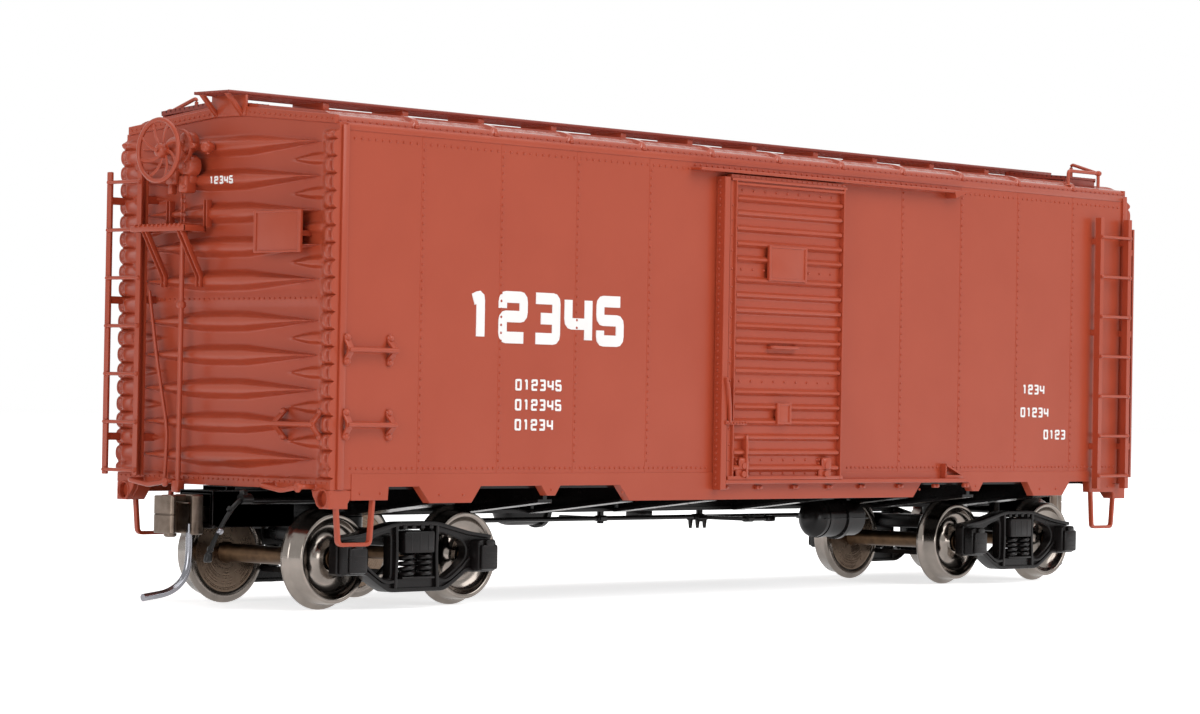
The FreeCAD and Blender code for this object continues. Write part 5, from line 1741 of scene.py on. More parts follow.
    def tracks(self) -> Shape:
        """Both tracks with their gussets, and the lugs and rivets along them.

        Returns:
            the right side's tracks.
        """
        shape = Shape()
        left, stop, wall = -16.1, 31.3, SIDE + 0.04
        upper = rounded(rectangle(left, stop, 48.87, 49.2), 0.16, 3, closed=True)
        shape.plate(upper, Axis.Y, -18.44, wall + 0.01, 0.05)
        shape.plate([(stop - 0.1, 49.19), (stop + 3.1, 49.19), (stop + 0.3, 48.2)], Axis.Y, -18.42,
                    wall, 0.05)
        shape.plate(rectangle(-10.7, stop + 3.4, 13.28, 13.73), Axis.Y, -18.2, wall, 0.06)
        for start, end in (((stop, 14.0), (stop, 15.45)), ((stop, 15.45), (stop + 3.3, 14.15))):
            shape.bar((start[0], -17.3, start[1]), (end[0], -17.3, end[1]), 0.22, 0.8, (0, 1, 0))
        shape.block((stop - 0.1, -17.7, 13.7), (stop + 3.4, -16.88, 14.15), 0.06)
        for x in (-9.7, -3.7, 2.9, 9.2, 15.4, 22.8, 29.9, 36.0):
            shape.block((x - 0.55, -17.4, 12.6), (x + 0.55, SIDE, 13.08), 0.16, Axis.Y)
            shape.domes([(x, -17.4, 12.84)], Axis.Y, -1, 0.2, 0.16)
        return shape

    def build(self, shop: Workshop) -> None:
        """Make both doors and what they run on.

        Args:
            shop: where the pieces are made.
        """
        leaf, hardware = self.leaf(), self.hardware()
        for hand, one, two in (("right", leaf, hardware), ("left", leaf.turned(),
                                                           hardware.turned())):
            body = f"door_{hand}_body"
            shop.piece(f"door_leaf_{hand}", one, body, ENAMEL, [f"door_{hand}"], 45)
            shop.piece(f"door_gear_{hand}", two, body, ENAMEL, [f"door_{hand}_hardware"], 45)
        shop.piece("door_tracks", self.tracks().both(), "carbody", ENAMEL,
                   ["upper_door_tracks", "lower_door_tracks"])


@dataclass
class Numerals:
    """Plain block numerals in printed white: band-shaped strokes, cut corners.

    A film lies film off the panel, and each point of a stroke lies a step
    further out than the last, so that a stroke's own laps never share a face.
    """

    face: float = SIDE
    film: float = 0.07
    step: float = 0.0008
    strokes: dict[str, list[list[Pair]]] = field(default_factory=lambda: {
        "0": [[(0.5, 0), (1, 0), (1, 1), (0, 1), (0, 0), (0.5, 0)]],
        "1": [[(0.2, 0.9), (0.55, 1), (0.55, 0)]],
        "2": [[(0, 0.72), (0, 1), (1, 1), (1, 0.52), (0, 0.52), (0, 0), (1, 0)]],
        "3": [[(0, 1), (1, 1), (1, 0), (0, 0)], [(0.25, 0.5), (0.9, 0.5)]],
        "4": [[(0, 1), (0, 0.4), (0.9, 0.4)], [(1, 1), (1, 0)]],
        "5": [[(1, 1), (0, 1), (0, 0.52), (1, 0.52), (1, 0), (0, 0), (0, 0.26)]]})

    def band(self, line: np.ndarray, half: float) -> np.ndarray:
        """Outline of a line drawn with a broad pen.

        Each point is set off by half along the mitre of its two runs'
        normals, first along one side and then back along the other.

        Args:
            line: array (n, 2), the middle of the stroke.
            half: half the pen's breadth.

        Returns:
            array (2 n, 2).
        """
        runs = np.diff(line, axis=0)
        runs /= np.linalg.norm(runs, axis=1, keepdims=True)
        normals = np.stack([-runs[:, 1], runs[:, 0]], axis=1)
        first = np.vstack([normals[:1], normals])
        second = np.vstack([normals, normals[-1:]])
        spread = np.maximum(1 + (first * second).sum(axis=1, keepdims=True), 0.45)
        mitre = half * (first + second) / spread
        return np.vstack([line + mitre, (line - mitre)[::-1]])

    def line(self, text: str, place: Point, axis: Axis, size: Pair,
             gap: float, pen: float) -> Shape:
        """A line of numerals.

        Args:
            text: the digits.
            place: left foot of the first digit: two flat coordinates of the
                axis and the depth of the panel.
            axis: direction that the numerals face against.
            size: width and height of a digit; a negative width runs backwards.
            gap: space between two digits.
            pen: breadth of a stroke.

        Returns:
            the numerals as thin films.
        """
        shape = Shape()
        wide, high = size
        way = math.copysign(1, wide)
        start, foot, depth = place
        for number, sign in enumerate(text):
            left = start + way * (number * (abs(wide) + gap) + pen / 2)
            for stroke in self.strokes.get(sign, []):
                line = np.array(stroke) * (wide - way * pen, high - pen) + (left, foot + pen / 2)
                line = rounded(line, pen * 0.45, 3)
                outline = self.band(line, pen / 2)
                index = len(line)
                ends = np.arange(index) * self.step
                front = axis.place(outline, depth - self.film - np.append(ends, ends[::-1]))
                back = axis.place(outline, depth + 0.02)
                for low in range(index - 1):
                    corners = [low, low + 1, 2 * index - 2 - low, 2 * index - 1 - low]
                    shape.rings(np.stack([front[corners], back[corners]]))
        return shape

    def build(self, shop: Workshop) -> None:
        """Print plain figures on the sides and the ends.

        Args:
            shop: where the pieces are made.
        """
        side = self.face
        shape = self.line("12345", (-52.1, 28.5, side), Axis.Y, (4.45, 5.6), 0.68, 1.25)
        for text, x, z in (("012345", -44.2, 23.45), ("012345", -44.2, 21.3),
                           ("01234", -44.2, 19.15), ("1234", 47.9, 24.3), ("01234", 47.6, 21.4),
                           ("0123", 52.6, 18.6)):
            shape.joined(self.line(text, (x, z, side), Axis.Y, (0.95, 1.25), 0.3, 0.24))
        end = self.line("12345", (1.9, 44.62, -71.6), Axis.X, (-0.62, 0.85), 0.16, 0.19)
        shop.piece("printed_numerals", shape.joined(end).both(), "carbody", WHITE_INK)


# --------------------------------------------------------------- underframe
@dataclass
class Underframe:
    """Brake reservoir, cylinder, valve, rigging, hoses and coupler boxes.

    tank holds the reservoir's place across the car, its height and its radius.
    """

    tank: Point = (-9.0, 8.75, 2.3)

    def reservoir(self) -> Shape:
        """A two-part tank: domed ends, a bolted flange, a mould seam, a strap, two hangers.

        Returns:
            the tank.
        """
        y, z, radius = self.tank
        profile = [(15.4, TIP), (15.42, 1.1), (15.7, 1.8), (16.3, radius), (20.05, radius),
                   (20.1, radius + 0.02), (20.1, radius + 0.3), (20.7, radius + 0.3),
                   (20.7, radius - 0.1), (23.7, radius - 0.1), (24.35, 1.75), (24.68, 1.1),
                   (24.7, TIP)]
        shape = Shape().lathe(profile, (0, y, z), Axis.X, 48)
        shape.block((15.9, y - radius - 0.07, z - 0.07), (24.2, y + radius + 0.07, z + 0.07), 0.04)
        strap = circle(Axis.X, (17.2, y, z), radius + 0.03, 40)
        shape.sweep(strap, np.array([(0.06, -0.3), (0.06, 0.3), (-0.06, 0.3), (-0.06, -0.3)]),
                    (1, 0, 0), closed=True)
        for x in (16.8, 22.0):
            shape.block((x, y - 0.6, z + 1.6), (x + 0.8, y + 0.6, UNDERSIDE), 0.1)
        return shape.domes(circle(Axis.X, (20.1, y, z), 2.42, 8), Axis.X, -1, 0.14, 0.14)

    def cylinder(self) -> Shape:
        """The brake cylinder with its ribbed head, push rod and bracket.

        Returns:
            the cylinder.
        """
        y, z = 8.2, 9.6
        profile = [(-20.5, TIP), (-20.5, 1.1), (-20.1, 1.7), (-19.3, 1.9), (-14.6, 1.9),
                   (-14.6, 2.22), (-13.95, 2.22), (-13.9, 1.3), (-13.1, 0.7), (-13.0, 0.42),
                   (-8.7, 0.42), (-8.6, TIP)]
        shape = Shape().lathe(profile, (0, y, z), Axis.X, 36)
        shape.block((-19.6, y - 0.9, z + 1.2), (-16.0, y + 0.9, UNDERSIDE), 0.15)
        return shape.domes(circle(Axis.X, (-14.6, y, z), 2.05, 6), Axis.X, -1, 0.14, 0.14)

    def valve(self) -> Shape:
        """The control valve: a pipe bracket between two rounded portions.

        Returns:
            the valve with its pipe.
        """
        shape = Shape().block((3.9, 8.0, 9.2), (5.9, 10.2, UNDERSIDE), 0.2)
        shape.block((2.0, 7.5, 9.3), (4.2, 10.7, 11.5), 0.45, Axis.X)
        shape.block((5.6, 7.5, 9.3), (7.6, 10.7, 11.5), 0.45, Axis.X)
        shape.block((3.4, 8.0, 8.2), (6.2, 10.2, 9.5), 0.4)
        shape.lathe(solid([(-2.4, 0.7), (-2.1, 0.9), (2.3, 0.9), (2.6, 0.65)]), (3.2, 9.0, 10.4),
                    Axis.Y, 20, 1)
        return shape.wire([(4.9, 8.2, 10.2), (4.9, 4.4, 10.2), (4.9, 2.0, 11.2)], 0.22, 1.0)

    def rigging(self) -> Shape:
        """The levers under the floor, their rods, clevises and hangers.

        Returns:
            the rigging.
        """
        low = 8.35
        shape = Shape()
        for outline in ([(-9.3, 2.4), (-8.3, 2.4), (-8.1, 5.6), (-8.4, 9.4), (-9.2, 9.4),
                         (-9.5, 5.6)],
                        [(8.3, -5.6), (9.3, -5.6), (9.5, -1.0), (9.2, 3.4), (8.4, 3.4),
                         (8.1, -1.0)]):
            shape.plate(outline, Axis.Z, low, low + 0.45, 0.08)
        z = low + 0.25
        for ends in ([(-8.6, 3.0, z), (8.6, 3.0, z)], [(-34.0, 3.0, z), (-8.8, 3.0, z)],
                     [(8.8, -5.0, z), (12.8, -5.0, z)], [(8.8, 2.8, z), (34.0, 2.8, z)]):
            shape.wire(ends, 0.28)
            for end in ends:
                shape.block((end[0] - 0.7, end[1] - 0.42, z - 0.36),
                            (end[0] + 0.7, end[1] + 0.42, z + 0.36), 0.16)
        for x, y in ((-8.8, 3.0), (8.8, 2.8), (-34.0, 3.0), (34.0, 2.8)):
            shape.wire([(x, y, low - 0.35), (x, y, UNDERSIDE)], 0.4)
        for x in (7.4, 8.7, 10.0):
            shape.plate([(x - 0.32, 8.4), (x + 0.32, 8.4), (x + 0.12, 7.2), (x - 0.12, 7.2)],
                        Axis.Y, 2.8, 3.2, 0.06)
        return shape.block((6.9, 2.8, 8.2), (10.5, 3.2, 8.7), 0.08)

    def hoses(self) -> Shape:
        """An air hose: angle cock, clamp rings, a bowed hose and a gladhand.

        Returns:
            the brake end's hose.
        """
        y, high = -5.0, 11.65
        path = [(-70.9, y, high), (-72.9, y, high), (-75.2, y, 8.9), (-76.9, y, 5.9)]
        shape = Shape().wire(path, 0.25, 2.4, 12)
        shape.lathe(solid([(-0.2, 0.55), (1.2, 0.55)]), (-72.4, y, high), Axis.X, 14)
        shape.block((-72.5, y - 0.35, 11.5), (-71.8, y + 0.35, 12.6), 0.15)
        shape.wire([(-73.9, y, 10.75), (-74.15, y, 10.45)], 0.34)
        shape.wire([(-76.5, y, 6.65), (-76.65, y, 6.35)], 0.34)
        head = rounded([(-77.4, 5.15), (-76.5, 5.15), (-76.45, 6.2), (-77.1, 6.2)], 0.3, 3,
                       closed=True)
        return shape.plate(head, Axis.Y, y - 0.35, y + 0.35, 0.15)

    def draft_boxes(self) -> Shape:
        """A coupler box: two sides, a lid, a floor and a back, a front lip and a screw head.

        Returns:
            the brake end's box.
        """
        shape = Shape()
        for low, high in (((-74.3, -2.6, 8.6), (-62.8, -2.2, 12.45)),
                          ((-74.3, 2.2, 8.6), (-62.8, 2.6, 12.45)),
                          ((-74.3, -2.6, 12.05), (-62.8, 2.6, 12.45)),
                          ((-74.3, -2.6, 8.6), (-62.8, 2.6, 8.95)),
                          ((-63.3, -2.6, 8.6), (-62.8, 2.6, 12.45)),
                          ((-71.8, -1.85, 12.4), (-70.5, 1.85, 12.9))):
            shape.block(low, high, 0.08)
        shape.lathe([(8.3, TIP), (8.32, 0.9), (8.62, 1.0), (8.62, TIP)], (COUPLER_PIVOT, 0, 0),
                    Axis.Z, 20)
        shape.block((-74.45, -2.75, 8.5), (-73.9, 2.75, 8.9), 0.08)
        return shape

    def build(self, shop: Workshop) -> None:
        """Make the gear below the floor and dress what stays.

        Args:
            shop: where the pieces are made.
        """
        for name, shape, node in (("reservoir_tank", self.reservoir(), "air_reservoir"),
                                  ("cylinder_and_rod", self.cylinder(), "brake_cylinder"),
                                  ("valve_body", self.valve(), "control_valve"),
                                  ("lever_rigging", self.rigging(), "brake_rigging")):
            shop.piece(name, shape, "carbody", BLACK_STYRENE, [node])
        shop.piece("coupler_boxes", self.draft_boxes().both(), "carbody", BLACK_STYRENE)
        shop.piece("hose_pair", self.hoses().both(), "carbody", RUBBER, ["air_hoses"], 50)
        clamp = Shape().lathe(boss(0.28, 0.34), (-75.75, -5.5, 8.35), Axis.Y, 12, 1)
        shop.piece("hose_clamp_screws", clamp.both(), "carbody", BRIGHT_WIRE)
        shop.dress(BLACK_STYRENE, "center_sill", "body_bolsters", "crossbearers", "floor",
                   "train_pipe", "draft_gear_boxes")
        shop.dress(BALLAST_STEEL, "steel_weight", "truck_screws")
        shop.dress(DECK, "floor_deck")


# --------------------------------------------------------------------- trucks
@dataclass
class Truck:
    """A four-wheel truck: cast side frames, bolster, springs and brake beams."""

    letter: str
    x: float
    inner: float = 10.4
    outer: float = 12.4
    half_base: float = HALF_BASE

    def frame_plate(self, way: int) -> Shape:
        """The cast side frame: arched chords, columns and open windows.

        Args:
            way: 1 or -1, the side of the truck.

        Returns:
            the side frame.
        """
        half = [(0.0, 9.3), (2.9, 9.3), (3.6, 9.1), (8.0, 8.1), (11.0, 7.7), (11.35, 7.2),
                (11.35, 4.0), (10.9, 3.75), (8.4, 3.75), (7.6, 3.9), (5.4, 2.6), (4.2, 1.95),
                (0.0, 1.85)]
        outline = half[1:-1] + [(-x, z) for x, z in reversed(half[1:])]
        arch = [(3.5, 3.35), (4.6, 3.3), (6.5, 4.4), (7.6, 5.3), (7.8, 6.3), (7.2, 7.1),
                (5.4, 7.75), (3.9, 8.1), (3.5, 7.9)]
        holes = [rectangle(-2.45, 2.45, 3.35, 8.5),
                 rounded(anticlockwise(arch), 0.4, 2, closed=True),
                 rounded(anticlockwise([(-x, z) for x, z in arch]), 0.4, 2, closed=True)]
        shape = Shape().plate(outline, Axis.Y, way * (self.inner + 0.25),
                              way * (self.outer - 0.45), 0.12, holes)
        rail = rounded_box(0.22, 0.95, 0.12)
        middle = way * (self.inner + self.outer) / 2
        chords = [[(-11.1, 7.55), (-8.0, 7.95), (-3.6, 8.95), (-2.6, 9.1), (2.6, 9.1),
                   (3.6, 8.95), (8.0, 7.95), (11.1, 7.55)],
                  [(-8.6, 4.0), (-7.5, 4.1), (-5.3, 2.75), (-4.0, 2.1), (4.0, 2.1), (5.3, 2.75),
                   (7.5, 4.1), (8.6, 4.0)]]
        for chord in chords:
            shape.sweep(rounded([(x, middle, z) for x, z in chord], 0.6), rail, (0, 1, 0))
        for side in (-1, 1):
            column = [(side * x, middle, z) for x, z in ((3.0, 8.9), (2.9, 6.0), (3.1, 2.3))]
            shape.sweep(rounded(column, 1.0), rail, (0, 1, 0))
            brace = [(side * x, middle, z)
                     for x, z in ((3.3, 3.0), (4.6, 2.9), (6.6, 4.1), (7.9, 5.2))]
            shape.sweep(rounded(brace, 0.8), rounded_box(0.16, 0.9, 0.08), (0, 1, 0))
        return shape

    def journal_box(self, side: int, way: int) -> Shape:
        """A journal box with its hinged, sloping lid.

        Args:
            side: 1 or -1, the end of the frame.
            way: 1 or -1, the side of the truck.

        Returns:
            the box.
        """
        x = side * self.half_base
        shape = Shape()
        for half, near, far, low, high, bevel in (
                (1.35, 10.35, 13.3, 3.85, 7.3, 0.3), (1.2, 13.2, 13.72, 4.05, 6.75, 0.22),
                (0.55, 13.2, 13.72, 6.6, 7.3, 0.15), (0.8, 13.6, 13.74, 4.6, 4.8, 0.06),
                (0.8, 13.6, 13.74, 5.2, 5.4, 0.06), (0.8, 13.6, 13.74, 5.8, 6.0, 0.06)):
            shape.block((x - half, way * near, low), (x + half, way * far, high), bevel, Axis.Y)
        return shape

    def frames(self) -> Shape:
        """Both side frames with their journal boxes.

        Returns:
            both frames, at the truck's place.
        """
        shape = Shape()
        for way in (-1, 1):
            shape.joined(self.frame_plate(way))
            for side in (-1, 1):
                shape.joined(self.journal_box(side, way))
            for x in (-1.9, -0.6, 0.7, 2.0):
                shape.block((x - 0.28, way * (self.outer - 0.3), 8.55),
                            (x + 0.28, way * (self.outer + 0.02), 9.0), 0.08, Axis.Y)
        return shape.moved(self.x)

    def bolster(self) -> Shape:
        """The bolster between the frames, its ends showing in the windows.

        Returns:
            the bolster, at the truck's place.
        """
        shape = Shape().block((-1.9, -10.3, 6.6), (1.9, 10.3, 8.35), 0.35)
        for way in (-1, 1):
            shape.block((-2.2, way * 10.0, 5.98), (2.2, way * 12.78, 8.35), 0.2, Axis.Y)
            for x in (-1.25, 0.0, 1.25):
                shape.block((x - 0.12, way * 12.5, 6.2), (x + 0.12, way * 12.8, 8.1), 0.05, Axis.Y)
        shape.lathe(solid([(8.3, 2.6), (9.45, 2.6), (9.55, 2.45)]), (0, 0, 0), Axis.Z, 36)
        return shape.moved(self.x)

    def springs(self) -> Shape:
        """Coil springs: a round wire along z = pitch x turns, in each window.

        Returns:
            all six springs with their seats.
        """
        shape = Shape()
        turns = np.linspace(0, 4.25 * math.tau, 70)
        for way in (-1, 1):
            for x, y in ((-1.3, 11.9), (1.3, 11.9), (0.0, 10.9)):
                path = np.stack([x + 0.82 * np.cos(turns), way * y + 0.82 * np.sin(turns),
                                 3.42 + 2.5 * turns / turns[-1]], axis=1)
                shape.sweep(path, ellipse(0.2, 0.2, 6), (0, 0, 1))
            shape.block((-2.4, way * 10.2, 3.25), (2.4, way * 12.6, 3.5), 0.08)
        return shape.moved(self.x)

    def brake_beams(self) -> Shape:
        """Brake beams between the wheels, with shoes on the treads.

        Returns:
            both beams with their shoes and hangers.
        """
        shape = Shape()
        for side in (-1, 1):
            shape.bar((side * 3.5, -9.3, 3.5), (side * 3.5, 9.3, 3.5), 0.5, 0.55)
            for way in (-1, 1):
                turn = np.linspace(-0.5, 0.35, 9)
                shoe = np.stack([side * (HALF_BASE - 5.2 * np.cos(turn)), np.full(9, way * 8.55),
                                 AXLE_Z + 5.2 * np.sin(turn)], axis=1)
                shape.sweep(shoe, rounded_box(0.16, 0.85, 0.08), (0, 1, 0))
                shape.bar((side * 3.6, way * 8.5, 3.5), (side * 4.5, way * 8.5, 4.3), 0.5, 0.5)
                shape.wire([(side * 3.4, way * 9.6, 3.5), (side * 3.0, way * 10.5, 4.6)], 0.22)
        for side in (-1, 1):
            shape.wire([(side * 3.5, 0.5, 3.5), (side * 1.5, 0.5, 6.0)], 0.3)
        return shape.moved(self.x)

    def build(self, shop: Workshop) -> None:
        """Make the truck on its body.

        Args:
            shop: where the pieces are made.
        """
        body = f"truck_{self.letter}"
        for part, shape in (("frames", self.frames()), ("bolster", self.bolster()),
                            ("springs", self.springs()), ("brake_beams", self.brake_beams())):
            shop.piece(f"{body}_cast_{part}", shape, body, ACETAL, [f"{body}_{part}"])


@dataclass
class Wheelset:
    """Two turned wheels on an axle."""

    number: int
    x: float
    height: float = AXLE_Z
    back: float = 7.22

    def turning(self, profile: Loop, way: int) -> Shape:
        """A profile that starts at a wheel's back, turned round the axle.

        Args:
            profile: corners as (distance from the wheel's back, radius).
            way: 1 or -1, the side of the truck.

        Returns:
            the turned shape.
        """
        placed = [(way * (self.back + along), radius) for along, radius in profile]
        return Shape().lathe(placed, (self.x, 0.0, self.height), Axis.Y, 72)

    def wheel(self, way: int) -> Shape:
        """A wheel: flange, coned tread, bright rim, dished face and hub.

        Args:
            way: 1 or -1, the side of the truck.

        Returns:
            the wheel.
        """
        flange = [(0.08, 1.3), (0.1, 4.2), (0.0, 4.35), (0.0, 5.05), (0.06, 5.3), (0.24, 5.44),
                  (0.46, 5.42), (0.62, 5.22), (0.74, 4.98), (0.95, 4.86)]
        rim = [(2.48, 4.75), (2.6, 4.68), (2.63, 4.55), (2.63, 4.32), (2.56, 4.2)]
        face = [(2.3, 4.1), (1.85, 3.85), (1.55, 3.4), (1.42, 2.8), (1.5, 2.25), (1.75, 1.85)]
        hub = [(2.2, 1.62), (2.5, 1.5), (2.56, 1.35)]
        return self.turning(solid(flange + rim + face + hub), way)

    def facing(self, way: int) -> Shape:
        """The turned disc on a wheel's back."""
        return self.turning([(0.09, TIP), (0.02, 1.05), (0.02, 4.28), (0.09, 4.3)], way)

    def axle(self) -> Shape:
        """The axle with its journals and pointed ends.

        Returns:
            the axle.
        """
        half = [(0.0, 0.98), (6.6, 0.98), (6.9, 1.15), (9.95, 1.15), (10.0, 0.75), (11.6, 0.7),
                (11.9, 0.55), (12.85, 0.14), (12.9, TIP)]
        line = [(-y, r) for y, r in reversed(half[1:])] + half[1:]
        return Shape().lathe(line, (self.x, 0.0, self.height), Axis.Y, 36)

    def build(self, shop: Workshop) -> None:
        """Make the wheelset on its body.

        Args:
            shop: where the pieces are made.
        """
        body = f"wheelset_{self.number}"
        axle = (self.x, self.height)
        wheels = self.wheel(-1).joined(self.wheel(1))
        # The wheels' nickel colour is darkened: a painted dark reflection.
        shop.piece(f"{body}_turned_wheels", wheels, body, NICKEL, [f"{body}_wheels"], 40,
                   axle=axle)
        faces = self.facing(-1).joined(self.facing(1))
        shop.piece(f"{body}_wheel_backs", faces, body, FACED_NICKEL, axle=axle)
        shop.piece(f"{body}_turned_axle", self.axle(), body, BROWNED_STEEL, [f"{body}_axle"],
                   axle=axle)


@dataclass
class Coupler:
    """A knuckle coupler: shank, head, guard arm, knuckle and trip pin.

    It is drawn at the brake end, and turned puts it at the plain one; pivot
    and hinge are where the head and the knuckle swing.
    """

    letter: str
    turned: bool
    pivot: float = COUPLER_PIVOT
    hinge: Pair = (-77.0, 0.9)
    low: float = 8.0
    high: float = 11.9

    def head(self) -> Shape:
        """Shank, back plate, flared guard arm, top lug and hinge pin.

        Returns:
            the head, as drawn at the brake end.
        """
        shape = Shape()
        ring = ellipse(1.75, 1.75, 24) + (self.pivot, 0)
        hole = ellipse(1.02, 1.02, 20) + (self.pivot, 0)
        shape.plate(ring, Axis.Z, 9.15, 10.75, 0.08, [hole])
        shape.block((-75.2, -0.75, 9.15), (self.pivot - 1.4, 0.75, 10.75), 0.15)
        horn = [(-74.9, -0.95), (-74.3, -0.75), (-74.3, 0.75), (-74.9, 0.95)]
        shape.plate(horn, Axis.Z, 9.02, 11.1, 0.1)
        back = [(-75.7, -2.05), (-75.1, -1.9), (-74.85, -1.2), (-74.85, 1.2), (-75.1, 1.75),
                (-75.7, 1.8)]
        shape.plate(back, Axis.Z, 7.92, 12.0, 0.12)
        arm = rounded(anticlockwise([(-75.1, -2.1), (-75.5, -1.75), (-76.1, -2.0),
                                     (-77.15, -2.35), (-77.25, -2.78), (-76.4, -2.82),
                                     (-75.6, -2.6)]), 0.22, 2, closed=True)
        shape.plate(arm, Axis.Z, 7.9, 12.0, 0.1)
        lug = rounded(anticlockwise([(-77.85, 0.1), (-77.85, 1.6), (-76.6, 1.85), (-75.3, 1.8),
                                     (-75.3, 0.0), (-77.0, -0.05)]), 0.3, 2, closed=True)
        shape.plate(lug, Axis.Z, 11.25, 11.95, 0.1)
        x, y = self.hinge
        shape.lathe([(7.55, TIP), (7.55, 0.5), (7.7, 0.68), (7.95, 0.68), (7.95, 0.38),
                     (11.9, 0.38), (12.0, TIP)], (x, y, 0), Axis.Z, 20)
        for z in (8.55, 9.35, 10.25, 11.0):
            shape.bar((-75.72, -1.55, z), (-75.72, 0.2, z), 0.14, 0.3, (0, 0, 1))
        return shape

    def knuckle(self) -> Shape:
        """The knuckle: a rounded nose, split by a seam, on its hub.

        Returns:
            the knuckle, as drawn at the brake end.
        """
        x, y = self.hinge
        face = x - 2.05
        nose = [(face, y + 0.3), (face, y - 2.35), (face + 0.3, y - 2.6), (face + 0.8, y - 2.3),
                (face + 1.05, y - 1.2), (face + 1.05, y + 0.6), (face + 0.5, y + 0.6)]
        outline = rounded(anticlockwise(nose), 0.25, 3, closed=True)
        shape = Shape().plate(outline, Axis.Z, self.low, 9.93, 0.08)
        shape.plate(outline, Axis.Z, 9.97, self.high, 0.08)
        shape.plate(offset_loop(anticlockwise(nose), 0.08), Axis.Z, 9.8, 10.1, 0.02)
        shape.lathe([(self.low, 0.4), (self.low, 0.82), (self.low + 0.1, 0.9), (11.1, 0.9),
                     (11.2, 0.82), (11.2, 0.4)], (x, y, 0), Axis.Z, 24)
        shape.block((face + 0.9, y - 0.8, self.low), (x, y + 0.6, 11.2), 0.12)
        link = [(x + 0.3, y - 0.8), (x + 0.45, y - 2.3), (x + 1.05, y - 2.4), (x + 1.0, y - 0.1)]
        shape.plate(link, Axis.Z, self.low, 11.2, 0.1)
        return shape

    def trip_pin(self) -> Shape:
        """The curved uncoupling pin with its domed end.

        Returns:
            the pin, as drawn at the brake end.
        """
        x, y = self.hinge[0] + 0.75, self.hinge[1] - 2.2
        path = rounded([(x, y, 9.0), (x, y, 3.9), (x - 2.2, y, 1.95), (x - 6.1, y, 1.5)], 3.0, 8)
        return Shape().sweep(path, ellipse(0.4, 0.4, 14), (0, 1, 0))

    def build(self, shop: Workshop) -> None:
        """Make the coupler on its two bodies.

        Args:
            shop: where the pieces are made.
        """
        node = f"coupler_{self.letter}"
        head, knuckle, pin = (shape.turned() if self.turned else shape
                              for shape in (self.head(), self.knuckle(), self.trip_pin()))
        shop.piece(f"{node}_cast_head", head, f"{node}_body", ZINC, [node])
        shop.piece(f"{node}_cast_knuckle", knuckle, f"knuckle_{self.letter}", ZINC,
                   [f"{node}_knuckle"])
        shop.piece(f"{node}_trip_pin", pin, f"knuckle_{self.letter}", BRIGHT_WIRE, sharp=50)


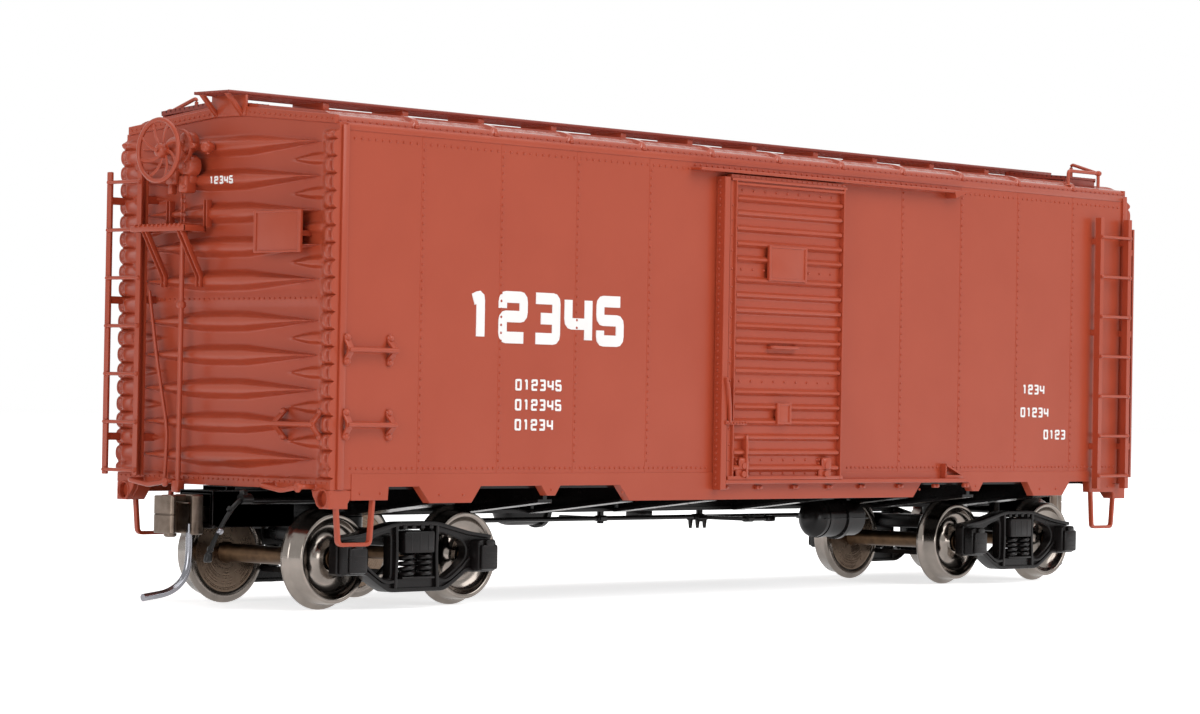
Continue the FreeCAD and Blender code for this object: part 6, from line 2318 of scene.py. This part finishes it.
# --------------------------------------------------------------------- studio
@dataclass
class Studio:
    """A white paper floor, soft lights and the camera.

    place and the angles set the camera, in millimetres and degrees; sky and
    paper_glow are strengths; a lamp is its name, place, side and power.
    """

    place: Point = (-318.271, -282.879, 22.223)
    azimuth: float = -47.22
    elevation: float = -0.748
    roll: float = 0.99
    lens: float = 106.54
    sky: float = 0.28
    paper_glow: float = 0.72
    lamps: tuple[tuple[str, Point, float, float], ...] = (
        ("key_light", (0.25, -0.8, 0.7), 0.8, 7.1),
        ("side_light", (-0.95, -0.3, 0.24), 0.45, 3.1),
        ("top_light", (-0.1, 0.1, 1.1), 0.8, 4.6))

    def camera(self) -> None:
        """A 36 mm wide sensor behind a long lens, level with the car.

        back = (sin a cos e, -cos a cos e, sin e); right is level and square
        to it; both right and up are turned by the roll.
        """
        a, e, r = (math.radians(angle) for angle in (self.azimuth, self.elevation, self.roll))
        back = Vector((math.sin(a) * math.cos(e), -math.cos(a) * math.cos(e), math.sin(e)))
        level = (-back).cross(Vector((0, 0, 1))).normalized()
        raised = back.cross(level)
        right = math.cos(r) * level + math.sin(r) * raised
        up = -math.sin(r) * level + math.cos(r) * raised
        data = bpy.data.cameras.new("camera")
        data.sensor_width = 36.0
        data.lens = self.lens
        data.clip_start, data.clip_end = 0.01, 20.0
        made = bpy.data.objects.new("camera", data)
        turn = Matrix((right, up, back)).transposed().to_4x4()
        made.matrix_world = Matrix.Translation(Vector(self.place) * MM) @ turn
        bpy.context.scene.collection.objects.link(made)
        bpy.context.scene.camera = made

    def white_to_camera(self, tree: Tree) -> Socket:
        """1 for camera, mirror and glass rays, which see the backdrop as white.

        Args:
            tree: the material's or world's node tree.

        Returns:
            the socket that holds it.
        """
        path = add_node(tree, "ShaderNodeLightPath")
        either = add_node(tree, "ShaderNodeMath", {0: path.outputs["Is Camera Ray"],
                                                   1: path.outputs["Is Glossy Ray"]},
                          operation="MAXIMUM").outputs[0]
        return add_node(tree, "ShaderNodeMath", {0: either,
                                                 1: path.outputs["Is Transmission Ray"]},
                        operation="MAXIMUM").outputs[0]

    def world(self, level: float) -> None:
        """Even light all round, white where it is seen.

        Args:
            level: strength of the light on the car.
        """
        made = bpy.data.worlds.new("studio")
        bpy.context.scene.world = made
        made.use_nodes = True
        tree = made.node_tree
        tree.nodes.clear()
        seen = self.white_to_camera(tree)
        strength = add_node(tree, "ShaderNodeMapRange", {"Value": seen},
                            {"To Min": level, "To Max": 1.0}).outputs[0]
        glow = add_node(tree, "ShaderNodeBackground", {"Strength": strength},
                        {"Color": (1, 1, 1, 1)})
        add_node(tree, "ShaderNodeOutputWorld", {"Surface": glow.outputs[0]})

    def floor(self) -> None:
        """White paper that keeps the shadows under the wheels.

        What it reflects of the lamps is added to a glow that only camera,
        mirror and glass rays see, so that it never lights the car.
        """
        u, v = np.meshgrid(np.linspace(-4, 4, 9), np.linspace(-4, 4, 9), indexing="ij")
        points = np.stack([u, v, np.full_like(u, -0.00002)], axis=-1).reshape(-1, 3)
        mesh = bpy.data.meshes.new("paper_floor")
        mesh.from_pydata(points.tolist(), [], quads(np.arange(81).reshape(9, 9).T, False))
        paper = bpy.data.materials.new("white_backdrop_paper")
        paper.use_nodes = True
        tree = paper.node_tree
        tree.nodes.clear()
        sheet = add_node(tree, "ShaderNodeBsdfDiffuse", sockets={"Color": linear("#fcfcfc")})
        glow = add_node(tree, "ShaderNodeMath", {0: self.white_to_camera(tree)},
                        {1: self.paper_glow}, operation="MULTIPLY").outputs[0]
        lit = add_node(tree, "ShaderNodeEmission", {"Strength": glow}, {"Color": (1, 1, 1, 1)})
        total = add_node(tree, "ShaderNodeAddShader", {0: sheet.outputs[0], 1: lit.outputs[0]})
        add_node(tree, "ShaderNodeOutputMaterial", {"Surface": total.outputs[0]})
        mesh.materials.append(paper)
        made = bpy.data.objects.new("paper_floor", mesh)
        bpy.context.scene.collection.objects.link(made)

    def lamp(self, name: str, place: Point, size: float, watts: float) -> None:
        """A square soft light that faces the middle of the car.

        Args:
            name: the lamp's name.
            place: where it stands, in metres.
            size: length of its side, in metres.
            watts: its power.
        """
        data = bpy.data.lights.new(name, "AREA")
        data.shape, data.size, data.energy = "SQUARE", size, watts
        made = bpy.data.objects.new(name, data)
        aim = (Vector((0, 0, 0.03)) - Vector(place)).to_track_quat("-Z", "Y")
        made.matrix_world = Matrix.Translation(Vector(place)) @ aim.to_matrix().to_4x4()
        bpy.context.scene.collection.objects.link(made)

    def build(self) -> None:
        """Set up the studio."""
        bpy.context.scene.view_settings.view_transform = "Standard"
        self.world(self.sky)
        self.floor()
        for lamp in self.lamps:
            self.lamp(*lamp)
        self.camera()


def main() -> None:
    """Build the car round its frame, then the studio."""
    logging.basicConfig(level=logging.INFO, format="%(message)s")
    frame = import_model()
    shop = Workshop(frame["nodes"])
    assemblies = [Sides(), Ends(), Roof(), Walkways(), Ironwork(), HandBrake(), Doors(),
                  Numerals(), Underframe(), Truck("b", -TRUCK_X), Truck("a", TRUCK_X)]
    assemblies += [Wheelset(number, truck + side) for number, (truck, side) in enumerate(
        product((-TRUCK_X, TRUCK_X), (-HALF_BASE, HALF_BASE)), start=1)]
    assemblies += [Coupler("b", False), Coupler("a", True)]
    for assembly in assemblies:
        assembly.build(shop)
    Studio().build()


if __name__ == "__main__":
    main()
